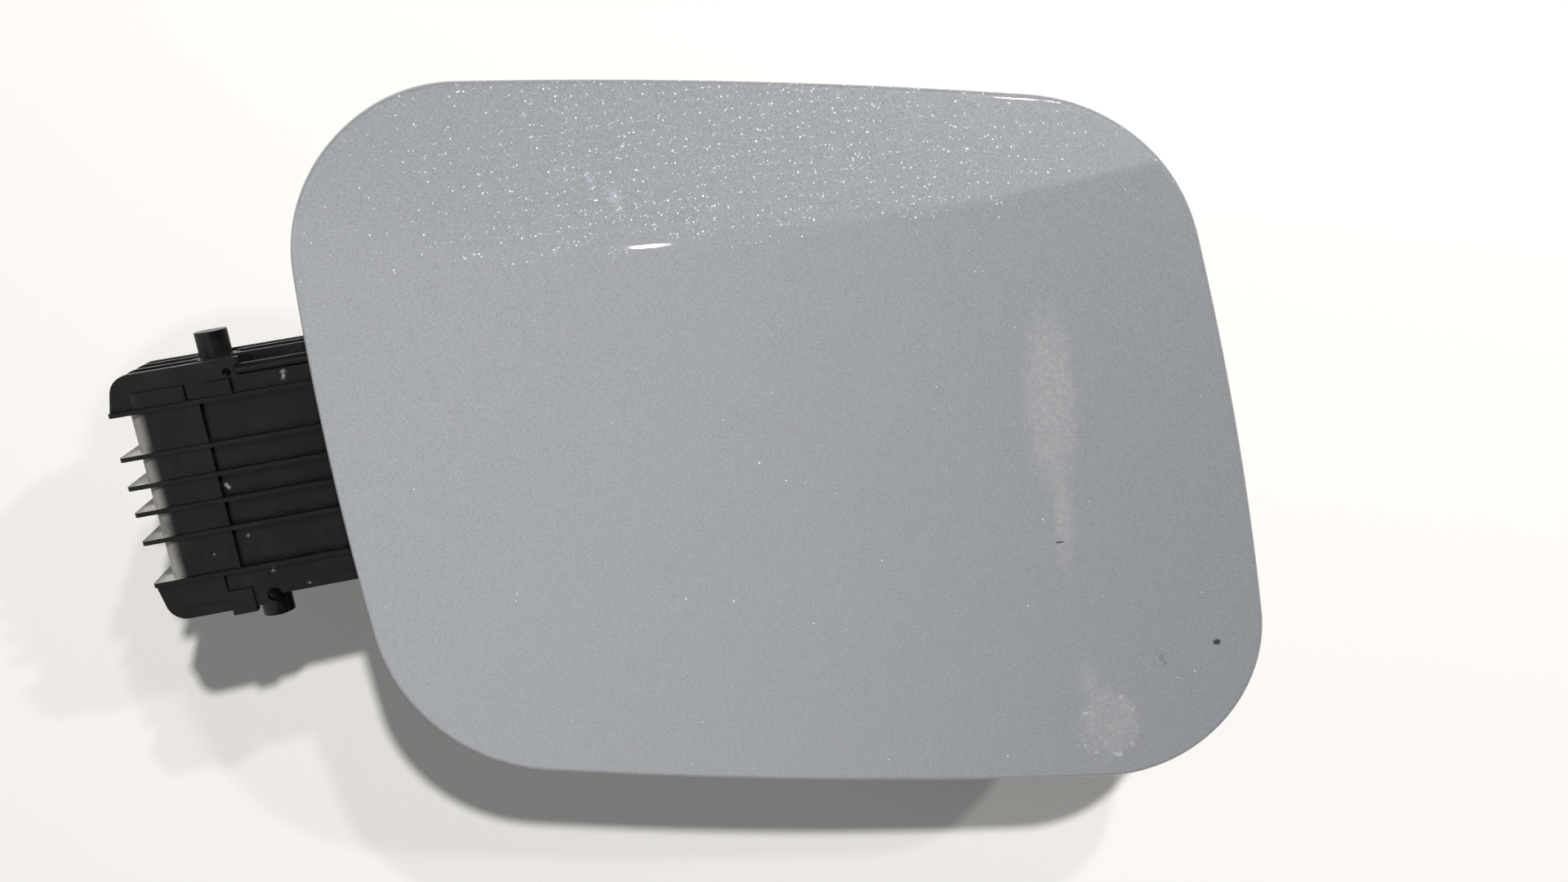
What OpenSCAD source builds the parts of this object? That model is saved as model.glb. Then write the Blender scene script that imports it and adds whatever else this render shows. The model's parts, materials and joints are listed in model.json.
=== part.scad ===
// Fuel door of a passenger car: a painted lid skin with a body crease, an inner carrier,
// a swan-neck arm and the ribbed hinge housing that snaps into the filler pocket.
// The frame is the car's: +Z up, the lid's painted face looks along -Y, the hinge is at -X.
// The origin lies on the hinge axis at the shoulder of the upper stud.

/* [Lid outline] */
// Radius of the lid's top hinge-side corner
corner_tl_r = 31.6; // [20:0.1:36]
// Radius of the lid's top free corner
corner_tr_r = 35.7; // [20:0.1:38]
// Radius of the lid's bottom free corner
corner_br_r = 30; // [20:0.1:34]
// Radius of the lid's bottom hinge-side corner
corner_bl_r = 35.9; // [20:0.1:38]
// Width between the centres of the two top corners
top_span = 102; // [90:0.5:115]
// Width between the centres of the two bottom corners
bottom_span = 110.4; // [98:0.5:124]
// Height between the corner centres at the hinge side
hinge_side_rise = 67.5; // [60:0.5:76]
// Height between the corner centres at the free side
free_side_rise = 68.6; // [60:0.5:76]
// How far the bottom corners lie nearer the free side than the top ones
side_lean = 14.2; // [8:0.2:18]
// How far the top edge drops from the hinge side to the free side
top_drop = 6.4; // [2:0.2:10]
// Radius of the top edge's slight bow
top_bow_r = 1200; // [900:10:2000]
// Radius of the free edge's slight bow
free_bow_r = 700; // [500:10:1500]
// Radius of the bottom edge's slight bow
bottom_bow_r = 1800; // [900:10:3000]
// Radius of the hinge-side edge's slight bow
hinge_bow_r = 680; // [500:10:1500]

/* [Lid skin] */
// Wall of the moulded skin
skin_t = 2.5; // [1.8:0.1:3]
// Depth of the flange that turns back round the edge
flange_d = 7; // [5:0.1:8]
// Crown radius of the main face
crown_r = 1500; // [1200:10:2200]
// Crown radius of the facet above the crease
facet_r = 2900; // [2000:50:3200]
// How far the facet above the crease leans back, in degrees
facet_tilt = 11; // [8:0.5:14]
// How far the crease climbs towards the free side, in degrees
crease_roll = 5.7; // [3:0.1:8]
// Height of the crease above the middle of the lid
crease_z = 39.3; // [34:0.1:44]

/* [Carrier] */
// Thickness of the foam between the skin and the carrier
foam_t = 1.5; // [1:0.1:2]
// Thickness of the carrier's plate
carrier_t = 2; // [1.5:0.1:2.5]
// Height of the carrier's ribs above its plate
carrier_rib_h = 4; // [2:0.1:5]
// Thickness of the carrier's ribs
carrier_rib_t = 1.5; // [1:0.1:2]
// Gap all round between the carrier and the skin's flange
carrier_gap = 0.5; // [0.3:0.05:1]
// Spacing of the carrier's ribs
rib_pitch = 21; // [16:0.5:30]

/* [Hinge axis] */
// How far the hinge axis leans back from the vertical, top away from the lid, in degrees
axis_lean = 8.6; // [6:0.1:10]
// Distance across from the upper stud to the middle of the lid
axis_to_lid = 114.35; // [110:0.05:122]
// Depth of the hinge axis behind the middle of the lid's face
axis_depth = 22; // [22:0.1:25]
// Height of the upper stud's shoulder above the middle of the lid
stud_above_lid = 13; // [5:0.1:20]
// Length of the housing between the seats of its two studs
housing_len = 50.9; // [46:0.1:54]
// Diameter of the hinge pin
pin_d = 4; // [3:0.1:5]
// Running clearance of the pin in the arm's eye, on the radius
pin_clear = 0.05; // [0.02:0.01:0.1]
// End play between the arm's eye and each cheek
eye_play = 0.4; // [0.3:0.05:0.8]

/* [Housing] */
// Diameter of the two studs that snap into the filler pocket
stud_d = 6.4; // [6:0.1:8]
// Length of each stud beyond the brims
stud_len = 4.6; // [4:0.1:7]
// Reach of the ribs and brims beyond the hinge axis, away from the lid
housing_left = 19.3; // [18:0.1:20]
// Reach of the housing beyond the hinge axis, under the lid
housing_right = 24.5; // [23.5:0.1:25.5]
// Depth from the hinge axis to the ribs' front edges
housing_front = 12; // [11.6:0.1:12.4]
// Depth from the hinge axis to the housing's back edge
housing_back = 8; // [7.9:0.1:10]
// How far the housing is turned about the pin, its free side forward, in degrees
housing_turn = 8.6; // [6:0.1:10]
// Height of the ribs above the raised half of the front wall
rib_front_h = 0.7; // [0.5:0.1:1.2]
// Step of the front wall, back towards the lid
web_step = 1.3; // [0.8:0.1:2]
// Height of the ribs above the side wall
rib_side_h = 3.1; // [2:0.1:3.5]
// Thickness of the housing's ribs
rib_t = 0.9; // [0.7:0.1:1.2]
// Distance of the inner pair of ribs from the middle of the ribs
rib_inner = 2.7; // [2:0.05:3.5]
// Distance of the next pair of ribs from the middle of the ribs
rib_middle = 8.55; // [7:0.05:11]
// Distance of the outer pair of ribs from the middle of the ribs
rib_outer = 17.4; // [16:0.1:18]
// How far the middle of the ribs lies above the middle of the housing
rib_rise = 0.5; // [0:0.1:1]
// How far the brims lie behind the ribs' front edges
brim_step = 1.4; // [1:0.1:2]
// How far the brims narrow from the outer ribs to their ends
brim_taper = 0.9; // [0:0.1:2]
// Radius of the bead along the upper brim
bead_r = 1.1; // [0.8:0.1:1.3]
// Wall of the housing
housing_wall = 1.8; // [1.4:0.1:2]
// Radius of the brims' and fins' outer corners
brim_corner_r = 4; // [2:0.1:6]
// Height of the side fins above the cheeks
fin_h = 4; // [3.5:0.1:4.5]
// Thickness of the side fins
fin_t = 1.2; // [0.8:0.1:1.5]
// Thickness of the cheeks that hold the pin
cheek_t = 2.2; // [1.8:0.1:3]

/* [Arm] */
// Width of the arm along the hinge axis
arm_w = 32; // [26:0.5:34]
// Thickness of the swan neck's band
neck_t = 8; // [7:0.1:8.5]
// Clear radius inside the swan neck, for the body's edge when the door is open
neck_clear_r = 33; // [32.5:0.1:36]
// Bend radius on the inside of the swan neck
neck_bend_r = 8; // [5:0.1:12]
// Wall round the arm's pockets
arm_wall = 2; // [1.5:0.1:2.5]
// Thickness of the web and the cross ribs in the arm's pockets
arm_web_t = 2.2; // [1.5:0.1:3]
// Outer radius of the arm's eye
eye_r = 6.4; // [5.5:0.1:6.6]
// Thickness of the pad that is screwed to the carrier
pad_t = 3; // [2.5:0.1:4]
// Length of the pad under the lid
pad_len = 46; // [40:0.5:52]
// Door angle at which the arm's buffer meets its stop
open_angle = 85; // [80:1:85]

/* [Small parts] */
// Shank diameter of the screws
screw_d = 3.5; // [3:0.1:4]
// Head diameter of the screws
screw_head_d = 7.2; // [6:0.1:8]
// Thickness of the hold spring's strip
spring_t = 0.5; // [0.3:0.05:0.7]
// Head diameter of the rubber bump stops
bump_d = 10; // [8:0.1:13]
// Height of the bump stops above their lands
bump_h = 6; // [4:0.1:8]
// Thickness of the sheet of the panel clips
clip_t = 0.6; // [0.4:0.05:0.8]
// Thickness of the striker's sheet
striker_t = 1.5; // [1:0.1:2]
// Depth that the striker reaches behind its base
striker_reach = 15; // [12:0.5:20]

/* [Hidden] */

eps = 0.01;
fit_gap = 0.02;
arc_fn = 96;
crown_fn = 256;
corner_steps = 12;
bow_steps = 6;

// Corner centres of the lid, clockwise from the top hinge-side one, across and up from its middle
corner_tl = [-59.9, 34.2];
corner_tr = corner_tl + [top_span, -top_drop];
corner_bl = corner_tl + [side_lean, -hinge_side_rise];
corner_br = [corner_bl[0] + bottom_span, corner_tr[1] - free_side_rise];
corner_at = [corner_tl, corner_tr, corner_br, corner_bl];
corner_r = [corner_tl_r, corner_tr_r, corner_br_r, corner_bl_r];
bow_r = [top_bow_r, free_bow_r, bottom_bow_r, hinge_bow_r];

// Centre of the bow that touches two corner rounds from outside
function bow_centre(i) =
    let (a = corner_at[i], b = corner_at[(i + 1) % 4],
         p = bow_r[i] - corner_r[i], q = bow_r[i] - corner_r[(i + 1) % 4],
         d = norm(b - a), u = (b - a) / d,
         s = (p * p - q * q + d * d) / (2 * d))
    a + u * s + [u[1], -u[0]] * sqrt(p * p - s * s);
function way(from, to) = atan2(to[1] - from[1], to[0] - from[0]);
// Points of an arc that turns the short way between two directions, with or without its ends
function arc(c, r, from, to, steps, skip) =
    let (turn = to - from - 360 * round((to - from) / 360))
    [for (k = [skip:steps - skip]) c + r * [cos(from + turn * k / steps), sin(from + turn * k / steps)]];
bow_at = [for (i = [0:3]) bow_centre(i)];

// The facet above the crease is a second crowned face that leans back
crease_point = [0, crown_r - sqrt(crown_r * crown_r - crease_z * crease_z), crease_z];
facet_axis = [
    sin(facet_tilt) * sin(crease_roll),
    cos(facet_tilt),
    -sin(facet_tilt) * cos(crease_roll)
];
facet_centre = crease_point + facet_r * facet_axis;

// Depth of the painted face behind the crown of the lid, at a place across and up
function face_depth(p) = max(
    crown_r - sqrt(crown_r * crown_r - p[0] * p[0] - p[1] * p[1]),
    facet_centre[1] - sqrt(facet_r * facet_r
        - (p[0] - facet_centre[0]) * (p[0] - facet_centre[0])
        - (p[1] - facet_centre[2]) * (p[1] - facet_centre[2])));

carrier_front = skin_t + foam_t;
carrier_back = carrier_front + carrier_t;
carrier_inset = skin_t + carrier_gap;

lid_deep = 40;

// Places on the lid, across and up from its middle
clip_at = [[-28, 50], [24, 50], [70, 14], [42, -58], [-20, -56], [-76, 27]];
bump_at = [[-58, 28], [58, 26], [72, -46], [-44, -48]];
foam_at = [[-8, 16], [38, 14], [34, -36], [-14, -38]];
foam_size = [26, 12];
foam_squeeze = 0.05;
free_x = (corner_tr[0] + corner_br[0]) / 2;
striker_at = [free_x + 8.6, -8];
holder_at = [12, -10];

// Lands on the carrier
land_rise = 1.5;
land_r = 6.5;
wide_land = [26, 18];
function land_depth(p) = face_depth(p) + carrier_back + land_rise;
land_t = carrier_t + land_rise;

// Blades of the skin and the clips that grip them
blade = [7, 3];
blade_gap = 0.3;
clip_size = [12, 8];
clip_ear_h = 3;
blade_end = clip_t + clip_ear_h + 0.5;

// Bump stops
bump_stem_r = 2.5;
bump_stem_gap = 0.1;
bump_bulb_r = 3;
bulb_t = 0.8;
bulb_gap = 0.1;
bump_dome = 1.5;

// Screws
head_h = 2.6;
socket_d = 3;
socket_deep = 1.3;
boss_r = 5;
boss_deep = 5.4;
pilot_deep = 4.6;
tip_gap = 0.2;

// Striker and cap holder
striker_base = [22, 13];
striker_slot = [6, 7];
striker_screw_at = [striker_at + [-7, 0], striker_at + [3, 0]];
holder_base = [26, 18];
holder_base_t = 1.6;
holder_wall = 1.8;
holder_h = 8;
holder_lip = 3;
holder_plug_r = 2;
holder_bulb_r = 2.5;
holder_plug_at = [holder_at + [-8, 0], holder_at + [8, 0]];

// Hinge frame: x towards the lid, y deep, z along the pin, up
mid_w = -housing_len / 2;
cheek_face = -fin_h;
cheek_inner = cheek_face - cheek_t;
stud_r = stud_d / 2;
shoulder_drop = 0.6;
shoulder_r = stud_r + 1.6;
pin_blind = 1;
web_left = housing_left - rib_side_h;
web_front = housing_front - rib_front_h;
rib_mid = mid_w + rib_rise;
web_corner_r = 3.5;
rib_corner_r = 0.8;
room_front = web_front - web_step - housing_wall;
brim_front = housing_front - brim_step;
brim_t = 1.6;
edge_drop = 0.3;
fin_places = [8, 14.5];

// Places on the housing's front, across from the pin and down from the upper seat
platform_end = -5.9;
step_at = -2.3;
upper_platform_end = -4.6;
ledge = [-0.5, 4.3];
ledge_top = -4.2;
ledge_h = 1;
bead_start = 6.4;
bead_w = -2.7;
upper_hole = [3.9, -3];
upper_hole_r = 0.8;
lower_hole = [2.6, 2 - housing_len];
lower_hole_r = 1.45;
low_platform_w = 2.9 - housing_len;
low_platform_r = 2;
lug = [-5.9, -1.2];
lug_end = -0.6 - housing_len;

// Swan neck in plan
pad_front = -axis_depth + 10.5;
neck_in = neck_clear_r + 1;
root_right = 3.4;
root_left = root_right - neck_t;
turn_v = neck_in - neck_bend_r;
foot_r = neck_t + 4;
foot_v = pad_front + foot_r;
pad_u = neck_in + foot_r;
pad_end = pad_u + pad_len;
pad_corner_r = 6;
pad_rib_t = 2;
arm_screw_in = 8;
pad_rib_end = pad_end - arm_screw_in;
bed_margin = 1;
eye_w = housing_len - 2 * (fin_h + cheek_t + eye_play);
cam_flat = eye_r - 0.6;
arm_screw_pitch = 17;
arm_screw_at = [
    for (u = [arm_screw_in, pad_len - arm_screw_in]) for (w = [-0.5, 0.5])
        [pad_u + u, mid_w + w * arm_screw_pitch]
];

// Buffer that meets the housing's stop rib with the door open
buffer_t = 2.2;
buffer_size = [5, 14];
buffer_in = 3.5;
buffer_v = turn_v - buffer_size[0] / 2 - buffer_in;
stop_rib = [buffer_v - buffer_size[0] / 2, buffer_v + buffer_size[0] / 2];
buffer_stem_r = 1.5;
stop_gap = 0.3;
buffer_face = root_right + buffer_t;
stop_v = -(buffer_face * sin(open_angle) - (buffer_v - buffer_size[0] / 2) * cos(open_angle)) - stop_gap;

// Hold spring
spring_in = eye_r + 0.45;
spring_bend_v = -3;
spring_end_v = 6.5;
lip_gap = 0.3;
lip_place = 12;
lip_w = 6;
lip_reach = 0.8;

module on_lid() { translate([axis_to_lid, -axis_depth, -stud_above_lid]) children(); }
module on_hinge() { rotate([0, -axis_lean, 0]) children(); }
module on_housing() { on_hinge() rotate([0, 0, housing_turn]) children(); }

// Extrudes an outline that is drawn across and up, from one depth to another
module deep(from, to) { translate([0, to, 0]) rotate([90, 0, 0]) linear_extrude(to - from) children(); }

// Turns a shape that is drawn upwards so that it points deep
module turn_deep() { rotate([-90, 0, 0]) children(); }

// Sets a shape on its land, drawn upwards from the land's face
module on_land(p) { on_lid() translate([p[0], land_depth(p), p[1]]) turn_deep() children(); }

// The lid's outline, moved inwards by a wall: four corner rounds joined by four slight bows
module lid_outline(inset = 0) {
    polygon([
        for (i = [0:3]) let (next = (i + 1) % 4)
            each concat(
                arc(corner_at[i], corner_r[i] - inset, way(bow_at[(i + 3) % 4], corner_at[i]),
                    way(bow_at[i], corner_at[i]), corner_steps, 0),
                arc(bow_at[i], bow_r[i] - inset, way(bow_at[i], corner_at[i]),
                    way(bow_at[i], corner_at[next]), bow_steps, 1))
    ]);
}

// Everything at least d behind one crowned face, whose crown is at the origin
module behind_crown(r, d) { translate([0, r, 0]) sphere(r - d, $fn = crown_fn); }

// Everything at least d behind the painted face
module behind_face(d) {
    intersection() {
        behind_crown(crown_r, d);
        translate(crease_point) rotate([0, -crease_roll, 0]) rotate([-facet_tilt, 0, 0])
            behind_crown(facet_r, d);
    }
}

// A sheet that follows the painted face between two depths, inside the outline of its children
module face_sheet(from, to) {
    difference() {
        intersection() {
            deep(-1, lid_deep) children();
            behind_face(from);
        }
        behind_face(to);
    }
}

// Lid skin: the painted moulding, with a blade for each panel clip
module lid_skin() {
    color([0.56, 0.59, 0.64]) on_lid() {
        difference() {
            face_sheet(0, flange_d) lid_outline();
            intersection() {
                deep(-2, lid_deep + 1) lid_outline(skin_t);
                behind_face(skin_t);
            }
        }
        for (p = clip_at) deep(face_depth(p) + skin_t / 2, land_depth(p) + blade_end)
            translate(p) square(blade, center = true);
    }
}

// Inner carrier: a ribbed moulding with lands for what it carries
module inner_carrier() {
    color([0.09, 0.09, 0.1]) difference() {
        union() {
            on_lid() {
                face_sheet(carrier_front, carrier_back) lid_outline(carrier_inset);
                difference() {
                    face_sheet(carrier_front + carrier_t / 2, carrier_back + carrier_rib_h)
                        lid_outline(carrier_inset);
                    deep(-2, lid_deep + 1) difference() {
                        lid_outline(carrier_inset + carrier_rib_t);
                        carrier_rib_lines();
                    }
                }
                for (p = concat(clip_at, bump_at)) land(p) circle(land_r, $fn = arc_fn);
                for (p = [striker_at, holder_at]) land(p) square(wide_land, center = true);
            }
            arm_screw_places() translate([0, 0, -boss_deep]) cylinder(r = boss_r, h = boss_deep, $fn = arc_fn);
        }
        for (p = [striker_at, holder_at]) land_room(p) square(wide_land, center = true);
        for (p = clip_at) land_room(p) square(clip_size + 2 * [blade_gap, blade_gap], center = true);
        for (p = bump_at) land_room(p) circle(land_r, $fn = arc_fn);
        arm_bed();
        arm_screw_places() translate([0, 0, -pilot_deep])
            cylinder(d = screw_d + 2 * fit_gap, h = pilot_deep + 1, $fn = arc_fn);
        on_lid() for (p = clip_at) deep(-1, lid_deep)
            translate(p) square(blade + 2 * [blade_gap, blade_gap], center = true);
        for (p = bump_at) {
            land_hole(p) circle(bump_stem_r + bump_stem_gap, $fn = arc_fn);
            bulb_room(p) circle(bump_bulb_r + blade_gap, $fn = arc_fn);
        }
        land_hole(striker_at) for (s = striker_screw_at)
            translate(s - striker_at) circle(d = screw_d + 2 * fit_gap, $fn = arc_fn);
        for (s = holder_plug_at) {
            land_hole(s) circle(holder_plug_r + bump_stem_gap, $fn = arc_fn);
            bulb_room(holder_at) translate(s - holder_at) circle(holder_bulb_r + blade_gap, $fn = arc_fn);
        }
    }
}

module carrier_rib_lines() {
    for (k = [-4:4]) translate([k * rib_pitch, 0]) square([carrier_rib_t, 200], center = true);
    for (k = [-2:2]) translate([0, k * rib_pitch + 2]) square([240, carrier_rib_t], center = true);
}

// A land is a boss of the children's outline that reaches from the plate to a flat face
module land(p) {
    intersection() {
        deep(0, land_depth(p)) translate(p) children();
        behind_face(carrier_front + carrier_t / 2);
    }
}

// Clears the carrier's ribs behind a land
module land_room(p) { on_lid() deep(land_depth(p), lid_deep) translate(p) children(); }

// Flat recess in the carrier's front for the bulb of a snap stem
module bulb_room(p) { on_lid() deep(-1, land_depth(p) - land_t) translate(p) children(); }

module land_hole(p) { on_lid() deep(-1, lid_deep) translate(p) children(); }

module arm_screw_places() {
    on_hinge() for (s = arm_screw_at) translate([s[0], pad_front, s[1]]) turn_deep() children();
}

// Room in the carrier's ribs for the arm's pad and foot
module arm_bed() {
    on_hinge() translate([neck_in - bed_margin, pad_front, mid_w - arm_w / 2 - bed_margin])
        cube([pad_end - neck_in + 2 * bed_margin, lid_deep, arm_w + 2 * bed_margin]);
}

// A quarter of a ring about the origin, from an angle
module bend(inner, outer, from) {
    rotate(from) intersection() {
        difference() {
            circle(outer, $fn = arc_fn);
            circle(inner, $fn = arc_fn);
        }
        square(outer + 1);
    }
}

// Plan of the swan neck, its edges moved inwards by a wall
module neck_plan(t = 0) {
    band = neck_t - 2 * t;
    inner = neck_bend_r + t;
    translate([root_left + t, 0]) square([band, turn_v]);
    translate([root_right + neck_bend_r, turn_v]) bend(inner, inner + band, 90);
    translate([root_right + neck_bend_r, neck_in + t])
        square([neck_in - root_right - 2 * neck_bend_r, band]);
    translate([neck_in - neck_bend_r, turn_v]) bend(inner, inner + band, 0);
    translate([neck_in + t, foot_v]) square([band, turn_v - foot_v]);
    translate([pad_u, foot_v]) bend(foot_r - neck_t + t, foot_r - t, 180);
}

// Cross ribs in the pockets of the neck
module neck_ribs() {
    half = arm_web_t / 2;
    for (v = [turn_v / 3 + 2, turn_v * 2 / 3 + 2])
        translate([root_left, v - half]) square([neck_t, arm_web_t]);
    for (a = [[root_right + neck_bend_r, 135], [neck_in - neck_bend_r, 45]])
        translate([a[0], turn_v]) rotate(a[1]) translate([0, -half]) square([30, arm_web_t]);
    translate([(root_right + neck_in) / 2 - half, neck_in]) square([arm_web_t, neck_t]);
    for (v = [foot_v, turn_v / 2 + foot_v / 2, turn_v])
        translate([neck_in, v - half]) square([neck_t, arm_web_t]);
    translate([pad_u, foot_v]) rotate(225) translate([0, -half]) square([foot_r, arm_web_t]);
    translate([pad_u - arm_web_t, pad_front]) square([arm_web_t, neck_t]);
}

module pockets_plan() {
    difference() {
        neck_plan(arm_wall);
        neck_ribs();
        circle(eye_r + arm_wall / 2, $fn = arc_fn);
    }
}

// Arm: a swan neck with pockets, an eye for the pin and a ribbed pad
module swing_arm() {
    color([0.07, 0.07, 0.08]) on_hinge() difference() {
        union() {
            translate([0, 0, mid_w - arm_w / 2]) linear_extrude(arm_w) neck_plan();
            translate([0, 0, mid_w - eye_w / 2]) cylinder(r = eye_r, h = eye_w, $fn = arc_fn);
            arm_pad();
        }
        for (side = [-1, 1]) translate([0, 0, mid_w + side * (arm_web_t + arm_w) / 2])
            translate([0, 0, -arm_w / 2]) linear_extrude(arm_w) pockets_plan();
        translate([0, 0, mid_w - housing_len / 2])
            cylinder(r = pin_d / 2 + pin_clear, h = housing_len, $fn = arc_fn);
        for (a = [0, open_angle]) rotate(housing_turn + a)
            translate([-cam_flat - eye_r, -eye_r, mid_w - eye_w / 2 - 1])
                cube([eye_r, 2 * eye_r, eye_w + 2]);
        for (s = arm_screw_at) translate([s[0], pad_front - 1, s[1]]) turn_deep()
            cylinder(d = screw_d + 0.5, h = pad_t + 20, $fn = arc_fn);
        buffer_place() translate([0, 0, -arm_wall - 1])
            cylinder(r = buffer_stem_r + fit_gap, h = arm_wall + 2, $fn = arc_fn);
    }
}

module arm_pad() {
    intersection() {
        translate([pad_u, pad_front, mid_w - arm_w / 2]) cube([pad_len, pad_t, arm_w]);
        deep(-lid_deep, lid_deep) pad_outline();
    }
    for (w = [-arm_w / 2, -pad_rib_t / 2, arm_w / 2 - pad_rib_t]) translate([0, 0, mid_w + w])
        linear_extrude(pad_rib_t) polygon([
            [pad_u, pad_front + pad_t / 2], [pad_u, pad_front + neck_t],
            [pad_rib_end, pad_front + pad_t + 1], [pad_rib_end, pad_front + pad_t / 2]
        ]);
}

// Outline of the pad along and across the arm, with two round corners
module pad_outline() {
    translate([pad_u - 1, mid_w - arm_w / 2]) square([pad_len + 1 - pad_corner_r, arm_w]);
    translate([pad_u - 1, mid_w - arm_w / 2 + pad_corner_r]) square([pad_len + 1, arm_w - 2 * pad_corner_r]);
    for (side = [-1, 1])
        translate([pad_end - pad_corner_r, mid_w + side * (arm_w / 2 - pad_corner_r)])
            circle(pad_corner_r, $fn = arc_fn);
}

// Places the buffer on the side of the arm's root, drawn upwards from that face
module buffer_place() { translate([root_right, buffer_v, mid_w]) rotate([0, 90, 0]) children(); }

module stop_buffer() {
    color([0.05, 0.05, 0.05]) on_hinge() buffer_place() {
        translate([-buffer_size[1] / 2, -buffer_size[0] / 2, 0])
            cube([buffer_size[1], buffer_size[0], buffer_t]);
        translate([0, 0, -arm_wall]) cylinder(r = buffer_stem_r, h = arm_wall + eps, $fn = arc_fn);
    }
}

// A pan-head screw whose shank starts at the origin and whose head lies on a sheet of thickness t
module screw(deep_in, t) {
    difference() {
        union() {
            translate([0, 0, -deep_in]) cylinder(d = screw_d, h = deep_in + t + eps, $fn = arc_fn);
            translate([0, 0, t]) rotate_extrude($fn = arc_fn) intersection() {
                translate([0, -head_h]) circle(norm([screw_head_d / 2, head_h + head_h * 0.4]), $fn = 2 * arc_fn);
                square([screw_head_d / 2, head_h]);
            }
        }
        translate([0, 0, t + head_h - socket_deep]) cylinder(d = socket_d, h = socket_deep + 1, $fn = 6);
    }
}

module arm_screws() { color([0.72, 0.72, 0.7]) arm_screw_places() screw(pilot_deep - tip_gap, pad_t); }

module striker_screws() {
    color([0.72, 0.72, 0.7]) on_land(striker_at) for (s = striker_screw_at)
        translate([s[0] - striker_at[0], 0, 0]) screw(land_t - tip_gap, striker_t);
}

// Striker: a folded steel angle with a slot for the lock's pin
module striker() {
    b = striker_base;
    color([0.75, 0.75, 0.72]) on_land(striker_at) difference() {
        union() {
            translate([-b[0] / 2, -b[1] / 2, 0]) cube([b[0], b[1], striker_t]);
            translate([b[0] / 2 - striker_t, -b[1] / 2, 0]) cube([striker_t, b[1], striker_reach]);
        }
        for (s = striker_screw_at) translate([s[0] - striker_at[0], 0, -1])
            cylinder(d = screw_d + 0.5, h = striker_t + 2, $fn = arc_fn);
        translate([b[0] / 2 - striker_t - 1, -striker_slot[1] / 2, striker_reach - striker_slot[0] - 2.5])
            cube([striker_t + 2, striker_slot[1], striker_slot[0]]);
    }
}

// Cap holder: two lipped rails that the filler cap's grip slides between
module cap_holder() {
    b = holder_base;
    color([0.08, 0.08, 0.08]) on_land(holder_at) {
        translate([-b[0] / 2, -b[1] / 2, 0]) cube([b[0], b[1], holder_base_t]);
        for (side = [0, 1]) mirror([0, side, 0]) {
            translate([-b[0] / 2, b[1] / 2 - holder_wall, 0]) cube([b[0], holder_wall, holder_h]);
            translate([-b[0] / 2, b[1] / 2 - holder_wall - holder_lip, holder_h - holder_wall])
                cube([b[0], holder_lip + eps, holder_wall]);
        }
        translate([-b[0] / 2, -b[1] / 2, 0]) cube([holder_wall, b[1], holder_h]);
        for (s = holder_plug_at) translate([s[0] - holder_at[0], 0, 0])
            snap_stem(holder_plug_r, holder_bulb_r);
    }
}

// Stem that goes through a land and ends in a bulb behind it
module snap_stem(stem_r, bulb_r) {
    reach = land_t + bulb_gap + bulb_t;
    translate([0, 0, -reach]) {
        cylinder(r = stem_r, h = reach + eps, $fn = arc_fn);
        cylinder(r = bulb_r, h = bulb_t, $fn = arc_fn);
    }
}

// Bump stop: a rubber head on a stem that snaps through its land
module bump_stop(i) {
    dome_r = (bump_d * bump_d / 4 + bump_dome * bump_dome) / (2 * bump_dome);
    color([0.05, 0.05, 0.05]) on_land(bump_at[i]) {
        rotate_extrude($fn = arc_fn) intersection() {
            translate([0, bump_h - dome_r]) circle(dome_r, $fn = 4 * arc_fn);
            square([bump_d / 2, bump_h]);
        }
        snap_stem(bump_stem_r, bump_bulb_r);
    }
}

// Panel clip: a folded sheet whose two ears grip a blade of the skin
module panel_clip(i) {
    c = clip_size;
    s = blade + 2 * [fit_gap, fit_gap];
    color([0.55, 0.56, 0.58]) on_land(clip_at[i]) difference() {
        union() {
            translate([-c[0] / 2, -c[1] / 2, 0]) cube([c[0], c[1], clip_t]);
            translate([-s[0] / 2, -s[1] / 2 - clip_t, 0])
                cube([s[0], s[1] + 2 * clip_t, clip_t + clip_ear_h]);
        }
        translate([-s[0] / 2 - eps, -s[1] / 2, -1]) cube([s[0] + 2 * eps, s[1], clip_ear_h + 5]);
    }
}

module foam_pad(i) {
    color([0.2, 0.2, 0.21]) on_lid() face_sheet(skin_t + foam_squeeze, carrier_front - foam_squeeze)
        translate(foam_at[i]) square(foam_size, center = true);
}

// Plan of the housing with one round corner at the front of its free side
module housing_plan(left, front, r, right = housing_right, back = housing_back) {
    translate([r - left, r - front]) circle(r, $fn = arc_fn);
    translate([-left, r - front]) square([left + right, back + front - r]);
    translate([r - left, -front]) square([left + right - r, r]);
}

// Plan of the housing's box, whose front steps back towards the lid
module web_plan() {
    housing_plan(web_left, web_front, web_corner_r, platform_end);
    translate([platform_end - brim_t, web_step - web_front])
        square([housing_right - platform_end + brim_t, housing_back + web_front - web_step]);
}

// Room inside the housing, open at the back and under the lid
module room_plan() {
    housing_plan(web_left - housing_wall, room_front, web_corner_r - housing_wall,
        housing_right + brim_t, housing_back + brim_t);
}

module housing_rib() {
    linear_extrude(rib_t, center = true) difference() {
        housing_plan(housing_left, housing_front, rib_corner_r);
        room_plan();
    }
}

// A block on the front wall, between two places across and two places up
module front_block(across, up, front) {
    translate([across[0], -front, up[0]])
        cube([across[1] - across[0], front - room_front - housing_wall / 2, up[1] - up[0]]);
}

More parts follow.
